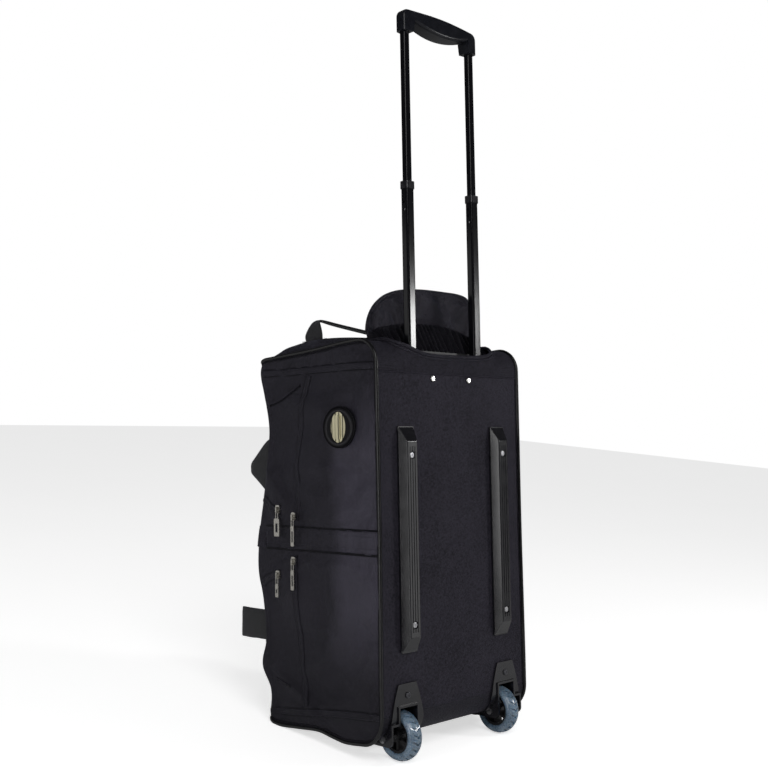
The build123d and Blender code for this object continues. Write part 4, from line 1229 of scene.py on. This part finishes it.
def flap_surface(x, share):
    """Middle surface of the flap: it leans forward a little at its top and curls at its ends."""
    z = lerp(FLAP_FOOT_Z, flap_top(x), share)
    rise = (z - FLAP_FOOT_Z) / (FLAP_HIGH.z - FLAP_FOOT_Z)
    curl = 7 * MM * (abs(x - FLAP_CENTRE_X) / 0.12) ** 3
    y = FLAP_Y - 3 * MM * rise ** 2 + 4 * MM * math.sin(rise * 2.4) - curl * (1 - 0.3 * rise)
    return Vector((x, y, z))


def flap_thickness(x, share, z):
    """Half the flap's thickness: thin at its edges and below the arch, padded and wavy above."""
    edge = min(share_edge(share), share_edge((x - FLAP_LOW.x) / (FLAP_HIGH.x - FLAP_LOW.x), 9))
    padded = smoothstep(-6 * MM, 9 * MM, z - arch_height(x))
    wave = 1.6 * noise.noise(Vector((x * 26 + z * 22, z * 30, 4.0))) * edge
    return (1.4 + wave * padded + 3.8 * edge * (0.25 + 0.75 * padded)) * MM


def share_edge(share, sharpness=5):
    """0 at either end of a span and 1 over most of it."""
    return min(1.0, sharpness * min(share, 1 - share)) ** 0.6 if 0 < share < 1 else 0.0


def make_flap():
    """Padded flap of the handle pocket, with its bound edge and one stitch row."""
    xs = grid_lines([FLAP_LOW.x, -0.105, 0.112, FLAP_HIGH.x - 1 * MM], 4 * MM)
    shares = spaced(0, 1, 1 / 22)
    width = len(xs)
    verts, faces, uvs, keys = [], [], [], []
    for sign in (-1, 1):
        for t in shares:
            for x in xs:
                p = flap_surface(x, t)
                verts.append(p + Vector((0, sign * flap_thickness(x, t, p.z), 0)))
                uvs.append((x, p.z))
                keys.append((x, t))
    block = width * len(shares)
    for j in range(len(shares) - 1):
        for i in range(width - 1):
            a = j * width + i
            faces.append((a, a + 1, a + 1 + width, a + width))
            faces.append((block + a, block + a + width, block + a + 1 + width, block + a + 1))
    rim = list(range(width))
    rim += [j * width + width - 1 for j in range(1, len(shares))]
    rim += [(len(shares) - 1) * width + i for i in range(width - 2, -1, -1)]
    rim += [j * width for j in range(len(shares) - 2, 0, -1)]
    for a, b in zip(rim, rim[1:] + rim[:1]):
        faces.append((a, block + a, block + b, b))
    piece = new_mesh("pocket_cover", verts, faces, PADDED, uvs)
    piece["grid_u"] = [k[0] for k in keys]
    piece["grid_v"] = [k[1] for k in keys]
    rest = [v.co.copy() for v in piece.data.vertices]
    seam = 7 * MM / (FLAP_HIGH.z - FLAP_FOOT_Z)

    def pins(x, t):
        if t < 0.08 or t > 1 - seam or x < FLAP_LOW.x + 6 * MM or x > FLAP_HIGH.x - 7 * MM:
            return 1.0
        return 0.0
    simulate(piece, pins, frames=16, pressure=1.5, swell=0.03)
    cap_moves(piece, rest, 3.5 * MM)
    smooth = piece.modifiers.new("smooth", "SUBSURF")
    smooth.levels = smooth.render_levels = 1
    apply_modifiers(piece)
    edge = [flap_surface(x, 1.0) for x in spaced(FLAP_LOW.x + 1 * MM, FLAP_HIGH.x - 2 * MM, 2 * MM)]
    binding = tube_mesh("cover_binding", edge, 2.5 * MM, PADDED, sides=12)
    surface = Surface(piece)
    below_edge = Vector((0, 0, -8 * MM))
    stitch_xs = spaced(FLAP_LOW.x + 8 * MM, FLAP_HIGH.x - 9 * MM, 3 * MM)
    line = [flap_surface(x, 1.0) + below_edge for x in stitch_xs]
    places, normals = surface.lay(line, (0, 1, 0))
    stitches = stitch_row("cover_stitches", places, smooth_normals(normals))
    for part in (piece, binding, stitches):
        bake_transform(part)
    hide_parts("pocket_flap")


def pleat(x, share):
    """Depth of the gathers of the pocket lining."""
    wave = math.sin(x * 2 * math.pi / 0.0105 + 2.6 * math.sin(x * 61) + 1.1 * share)
    fine = noise.noise(Vector((x * 130, share * 1.6, 5.0)))
    strength = 0.5 + 0.5 * smoothstep(0.0, 0.4, share)
    return (2.6 * wave + 3.4 * fine) * MM * strength


def liner_point(x, share):
    """Lining from inside the lip, behind the tubes, up to the padded arch of the flap."""
    foot = yoke_point(x, 1.0)
    behind = smoothstep(0.114, 0.088, abs(x + 0.004))
    start = foot + Vector((0, 3.5 * MM, -3 * MM))
    start = start.lerp(Vector((x, 24.6 * MM, 549 * MM)), behind)
    top = Vector((x, flap_surface(x, 0.4).y - 6.5 * MM, arch_height(x) + 1 * MM))
    bend = start.lerp(top, 0.33)
    bend.y += 1.5 * MM * behind
    bend.z += 2 * MM * behind
    t = share
    p = start * (1 - t) ** 2 + bend * (2 * t * (1 - t)) + top * t ** 2
    along = (top - start).normalized()
    normal = Vector((0, -along.z, along.y)).normalized()
    edge = min(1.0, min(x - LIP_LEFT, LIP_RIGHT - x) / 0.012)
    depth = pleat(x, share) * max(0.15, edge) * (1 - smoothstep(0.93, 1.0, share))
    return p + normal * depth


def make_liner():
    """Gathered lining behind the tubes, from inside the lip up to the arch of the flap."""
    xs = spaced(LIP_LEFT + 1 * MM, LIP_RIGHT - 1 * MM, 1.3 * MM)
    piece = build_sheet("pocket_gathers", xs, spaced(0, 1, 1 / 24), liner_point, LINING)
    thicken(piece, 0.8 * MM, 1.0, 1)
    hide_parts("pocket_liner")
    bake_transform(piece)


# ================================================================ webbing handles
def strap(name, stations, thickness):
    """Webbing along stations of (point, normal, width), all turned smoothly from one to the next."""
    points = [Vector(s[0]) * MM for s in stations]
    normals = [Vector(s[1]).normalized() for s in stations]
    widths = [s[2] * MM for s in stations]
    for _ in range(3):
        cut_points, cut_normals, cut_widths = [points[0]], [normals[0]], [widths[0]]
        for i in range(len(points) - 1):
            for t in (0.25, 0.75):
                cut_points.append(points[i].lerp(points[i + 1], t))
                cut_normals.append(normals[i].lerp(normals[i + 1], t).normalized())
                cut_widths.append(lerp(widths[i], widths[i + 1], t))
        points = cut_points + [points[-1]]
        normals = cut_normals + [normals[-1]]
        widths = cut_widths + [widths[-1]]
    return strip_mesh(name, points, normals, widths, thickness, WEBBING, -thickness / 2)


def make_carry_handle(side):
    """One carry handle: a strap from each foot, with a wrap round both at the hand."""
    name = side_name(side)
    body = "carry_handle_" + name
    low_foot = [((130, 251, 161), (1, 0, 0), 45), ((130.6, 275, 161), (1, 0, 0), 45),
                ((131, 310, 161), (1, 0, 0), 45), ((130, 334, 161), (0.8, 0.6, 0), 45),
                ((118, 337, 158), (0, 1, 0), 45), ((92, 337, 150), (0, 1, 0), 44),
                ((60, 336.5, 152), (0, 1, 0), 40), ((32, 336, 184), (0, 1, 0), 28),
                ((19.5, 335.5, 214), (0, 1, 0), 18), ((19.5, 335.5, 262), (0, 1, 0), 16)]
    high_foot = [((130, 251, 400), (1, 0, 0), 90), ((130, 264, 400), (1, 0, 0), 82),
                 ((129.5, 288, 399), (1, 0, 0), 44), ((128, 308, 398), (1, 0.2, 0), 16),
                 ((118, 318, 396), (0.6, 1, 0), 9), ((92, 324, 385), (-0.1, 1, 0), 22),
                 ((50, 333, 358), (-0.1, 1, 0), 32), ((24, 335.5, 338), (0, 1, 0), 20),
                 ((19.5, 335.5, 300), (0, 1, 0), 16)]
    for index, stations in enumerate((low_foot, high_foot)):
        turned = [((side * x, y, z), (side * a, b, c), w) for (x, y, z), (a, b, c), w in stations]
        leg = strap("carry_%s_leg_%d" % (name, index), turned, 2.6 * MM)
        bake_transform(leg)
    grip = make_grip_wrap(side, "carry_grip_" + name)
    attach(grip, body)
    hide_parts(body)


def make_grip_wrap(side, name):
    """Padded wrap closed round both legs of a carry handle."""
    low, high = 215.5 * MM, 345.5 * MM
    rows = spaced(low, high, 3 * MM)
    verts, uvs, faces = [], [], []
    sides = 24
    for z in rows:
        share = (z - low) / (high - low)
        full = share_edge(share, 14)
        half_x = (9.4 + 2.0 * full) * MM
        half_y = (3.0 + 1.6 * full) * MM
        for k in range(sides):
            angle = 2 * math.pi * k / sides
            c, s = math.cos(angle), math.sin(angle)
            x = side * 19.5 * MM + half_x * math.copysign(abs(c) ** 0.6, c)
            y = 335.4 * MM + half_y * math.copysign(abs(s) ** 0.6, s)
            verts.append((x, y, z))
            uvs.append((k / sides * 0.05, z))
    for j in range(len(rows) - 1):
        for k in range(sides):
            a, b = j * sides + k, j * sides + (k + 1) % sides
            faces.append((a, b, b + sides, a + sides))
    faces.append(tuple(reversed(range(sides))))
    faces.append(tuple(range((len(rows) - 1) * sides, len(rows) * sides)))
    return new_mesh(name, verts, faces, WEBBING, uvs)


GRAB_Y = 184.5
FOOT_WIDTH = 30 * MM


def make_grab_handle():
    """Grab strap on the upper end, standing up from its two feet."""
    y = GRAB_Y
    stations = [((-92, y, 577), (-0.6, 0, 1), 22), ((-99, y, 582), (-1, 0, 0.3), 28),
                ((-103, y, 594), (-1, 0, 0), 42), ((-101, y, 607), (-1, 0, 0.2), 32),
                ((-97, y, 619), (-0.9, 0, 0.5), 14), ((-87, y, 621), (0.1, 0, 1), 10),
                ((-60, y, 616.5), (0.1, 0, 1), 16),
                ((20, y, 607.5), (0.1, 0, 1), 20), ((88, y, 600.5), (0.15, 0, 1), 22),
                ((101, y, 594), (1, 0, 0.6), 26), ((103, y, 584), (1, 0, 0), 26),
                ((92, y, 578.5), (0.2, 0, 1), 24)]
    piece = strap("grab_strap", stations, 2.4 * MM)
    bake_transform(piece)
    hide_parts("grab_handle")


def make_foot(name, centre, height, normal_axis, surface):
    """Sewn end of a strap: a square of webbing with a boxed cross of stitches, laid on a surface."""
    right = Vector((1, 0, 0))
    up, normal = Vector((0, 1, 0)), Vector((0, 0, 1))
    if normal_axis == "y":
        up, normal = normal, up
    spine = [Vector(centre) + up * v for v in spaced(-height / 2, height / 2, 3 * MM)]
    spine, normals = surface.lay(spine, -normal)
    normals = smooth_normals(normals, 8)
    pad = strip_mesh(name, spine, normals, FOOT_WIDTH, 2.0 * MM, WEBBING, 0.1 * MM)
    middle = len(spine) // 2
    ground, out = spine[middle], normals[middle]
    inner_w, inner_h = FOOT_WIDTH / 2 - 3 * MM, height / 2 - 3 * MM
    corners = [(-inner_w, -inner_h), (inner_w, -inner_h), (inner_w, inner_h), (-inner_w, inner_h)]
    lines = [(corners[i], corners[(i + 1) % 4]) for i in range(4)]
    lines += [(corners[0], corners[2]), (corners[1], corners[3])]
    slope = (spine[-1] - spine[0]).normalized()
    rows = []
    for start, end in lines:
        ends = [ground + right * u + slope * v + out * 2.15 * MM for u, v in (start, end)]
        path = resample(ends, 2 * MM)
        rows.append(stitch_row("row", path, [out] * len(path)))
    stitches = join_pieces(name + "_stitches", rows)
    return [pad, stitches]


# ================================================================ carried-over hard parts
FINISH = {
    PLASTIC: ("skid_rail_left", "skid_rail_right", "wheel_housing_left", "wheel_housing_right",
              "tube_collars", "middle_lock_plugs", "top_lock_plugs", "upper_bracket", "foot_bracket"),
    HUB_PLASTIC: ("hub_left", "hub_right"),
    BOARD: ("base_board", "inner_wall"),
    GRIP: ("grip_upper_shell", "grip_lower_shell"),
    BUTTON: ("release_button",),
    NICKEL: ("back_rivets",),
    DARK_STEEL: ("housing_screws",),
    STEEL: ("rail_screws", "axles", "middle_lock_pins", "top_lock_pins", "push_rods",
            "button_spring"),
    ENAMEL: ("outer_tubes", "middle_tubes", "top_tubes"),
    POLYURETHANE: ("tyre_left", "tyre_right"),
    RUBBER: ("badge_base",),
    BADGE: ("badge_plate",),
    ZIP_METAL: ("main_zip_slider", "main_zip_tab", "upper_pocket_slider", "upper_pocket_tab",
                "lower_pocket_slider", "lower_pocket_tab", "upper_arch_slider", "upper_arch_tab",
                "lower_arch_slider", "lower_arch_tab"),
}
BEVEL_ANGLE = 35


def finish_cad_nodes():
    """Give every carried-over CAD node its own finish, with softened edges except on the spring and push
    rods; the spring gets a mesh of its own.
    """
    for material, names in FINISH.items():
        for name in names:
            node = nodes[name]
            node.data.materials.clear()
            node.data.materials.append(material)
            if name in ("button_spring", "push_rods"):
                continue
            bevel = node.modifiers.new("soft_edges", "BEVEL")
            bevel.width = 0.35 * MM
            bevel.segments = 2
            bevel.limit_method = "ANGLE"
            bevel.angle_limit = math.radians(BEVEL_ANGLE)
            bevel.harden_normals = False
    spring = nodes["button_spring"]
    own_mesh(spring)


# ================================================================ building
def make_body():
    """All the panels of the bag and its piping; gives the two surfaces that trims are laid on."""
    surface = Surface(make_wrap())
    bottom_stops = [0, RING_BOTTOM - WELL_DEPTH, RING_BOTTOM - HOLLOW_DEPTH, RING_BOTTOM,
                    ring_at(HOLLOW_TOP), ring_at(LOWER_SEAM_Z)]
    back_stops = [ring_at(LOWER_SEAM_Z), ring_at(WELL_TOP), ring_at(SEAM_Z)]
    top_stops = [RING_BACK + FLAP_EDGE_Y, RING_LENGTH]
    make_ring_panel("bottom_end", NYLON, X_STOPS, bottom_stops, GRID_STEP, "bottom_end_panel")
    make_ring_panel("back_cloth", BACK_NYLON, X_STOPS, back_stops, 7 * MM, "back_panel")
    top = make_ring_panel("top_end", NYLON, [-HALF_WIDTH, HALF_WIDTH], top_stops, GRID_STEP,
                          "top_end_panel", relax=True)
    make_yoke()
    make_seam_fold()
    make_pocket_backing()
    border = [place + outward(place) * 1.0 * MM for place in wrap_border()]
    piping = tube_mesh("border_piping", border, 2.5 * MM, PIPING, closed=True, sides=12)
    ride_bag(piping, "piping_vinyl", "edge_piping")
    make_painted_border_shadows()
    return surface, Surface(top)


def make_trims(surface, top_surface):
    """Bands, seams, zips, slip openings and the sewn feet of the handles."""
    for side in (-1, 1):
        make_band(surface, side)
        make_side_seam(surface, "top_seam", TOP_SEAM, side)
        make_side_seam(surface, "bottom_seam", BOTTOM_SEAM, side)
    make_zip(surface, "upper_zip", UPPER_ZIP, -1, "pocket_zips")
    make_zip(surface, "lower_zip", LOWER_ZIP, -1)
    make_zip(surface, "upper_arch", UPPER_ARCH, -1)
    make_zip(surface, "lower_arch", LOWER_ARCH, -1)
    make_slit(surface, "upper_slit", UPPER_SLIT, -1)
    make_slit(surface, "lower_slit", LOWER_SLIT, -1)
    feet = []
    for x in (-100, 98):
        centre = (x * MM, GRAB_Y * MM, 0.59)
        feet += make_foot("grab_foot_" + side_name(x), centre, 36 * MM, "z", top_surface)
    for side in (-1, 1):
        for z, level in ((161, "low"), (400, "high")):
            name = "carry_foot_%s_%s" % (side_name(side), level)
            feet += make_foot(name, (side * 0.127, DEPTH + 0.02, z * MM), 45 * MM, "y", surface)
    for foot in feet:
        ride_bag(foot, "webbing")
    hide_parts("handle_feet")


def look_from(position, target, roll):
    """Camera rotation that looks at a target and leans by a roll angle."""
    forward = (Vector(target) - Vector(position)).normalized()
    right = forward.cross(Vector((0, 0, 1))).normalized()
    up = right.cross(forward)
    angle = math.radians(roll)
    leaned = right * math.cos(angle) + up * math.sin(angle)
    rise = leaned.cross(forward)
    return Matrix((leaned, rise, -forward)).transposed().to_quaternion()


def make_camera():
    """Camera low behind the bag's left back edge, leaned by a degree."""
    data = bpy.data.cameras.new("camera")
    data.lens = 51.0
    data.sensor_width = 36.0
    camera = bpy.data.objects.new("camera", data)
    camera.location = (-1.1666, -1.0593, 0.4151)
    camera.rotation_mode = "QUATERNION"
    camera.rotation_quaternion = look_from(camera.location, (-0.0088, 0.130, 0.5236), -1.0)
    bpy.context.scene.collection.objects.link(camera)
    bpy.context.scene.camera = camera


def make_light(name, location, target, size, power, size_y=None):
    """Rectangular soft light that faces a target."""
    data = bpy.data.lights.new(name, "AREA")
    data.energy = power
    data.shape = "RECTANGLE"
    data.size = size
    data.size_y = size_y or size
    light = bpy.data.objects.new(name, data)
    light.location = location
    direction = Vector(target) - Vector(location)
    light.rotation_mode = "QUATERNION"
    light.rotation_quaternion = direction.to_track_quat("-Z", "Y")
    bpy.context.scene.collection.objects.link(light)


def make_lights():
    """White surroundings, dimmed for what the bag reflects, with a key, a soft side and three glints."""
    world = bpy.data.worlds.new("studio")
    bpy.context.scene.world = world
    world.use_nodes = True
    tree = world.node_tree
    background = tree.nodes["Background"]
    background.inputs["Color"].default_value = (1, 1, 1, 1)
    path = tree.nodes.new("ShaderNodeLightPath")
    unseen = tree.nodes.new("ShaderNodeMapRange")
    unseen.inputs["To Min"].default_value = 0.22
    unseen.inputs["To Max"].default_value = 0.05
    strength = tree.nodes.new("ShaderNodeMapRange")
    strength.inputs["To Max"].default_value = 1.0
    tree.links.new(path.outputs["Is Glossy Ray"], unseen.inputs["Value"])
    tree.links.new(unseen.outputs["Result"], strength.inputs["To Min"])
    tree.links.new(path.outputs["Is Camera Ray"], strength.inputs["Value"])
    tree.links.new(strength.outputs["Result"], background.inputs["Strength"])
    bpy.context.scene.view_settings.view_transform = "Standard"
    make_light("key", (-1.1, -2.1, 2.0), (0, 0.1, 0.4), 1.3, 27)
    make_light("side_soft", (-1.7, 1.6, 0.75), (-0.15, 0.1, 0.4), 0.9, 2.5)
    make_light("ridge_glint", (1.33, -1.42, 0.15), (-0.097, 0, 0.3), 0.35, 1.3, 0.8)
    make_light("rail_glint", (-2.0, -0.26, 0.35), (0.09, 0, 0.3), 0.45, 10, 1.0)
    make_light("tube_glint", (1.39, -1.42, 0.83), (-0.0713, 0.012, 0.60), 0.30, 10, 0.175)


def make_floor():
    """Pale floor that touches both wheels and the front lower edge the bag rests on."""
    n = Nodes("pale_floor")
    place = n.place()
    n.set(Base_Color=n.mix_colour(n.noise(place, 3, 2), (0.86, 0.86, 0.86), (0.90, 0.90, 0.90)))
    n.set(Roughness=0.85, Specular_IOR_Level=0.1)
    seen = n.add("ShaderNodeLightPath").outputs["Is Camera Ray"]
    n.set(Emission_Color=(1.0, 1.0, 1.0), Emission_Strength=n.math("MULTIPLY", seen, 0.62))
    size = 6.0
    tyre_low, tyre_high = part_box("tyre_left")
    centre_y, radius = (tyre_low.y + tyre_high.y) / 2, (tyre_high.z - tyre_low.z) / 2
    rest = Vector((0, 240 * MM, 25 * MM))
    axle = Vector((0, centre_y, radius))
    run = rest - axle
    tilt = math.atan2(run.z, run.y) + math.asin(radius / run.length)
    slope = Vector((0, math.cos(tilt), math.sin(tilt)))
    touch = axle + Vector((0, math.sin(tilt), -math.cos(tilt))) * radius
    corners = ((-1, -1), (1, -1), (1, 1), (-1, 1))
    points = [touch + slope * (v * size) + Vector((u * size, 0, 0)) for u, v in corners]
    floor = new_mesh("floor", points, [(0, 1, 2, 3)], n.material, smooth=False)


finish_cad_nodes()
body_surface, top_surface = make_body()
make_trims(body_surface, top_surface)
for bag_side in (-1, 1):
    make_main_flap(bag_side)
make_flap()
make_liner()
for bag_side in (-1, 1):
    make_carry_handle(bag_side)
make_grab_handle()
make_floor()
make_camera()
make_lights()
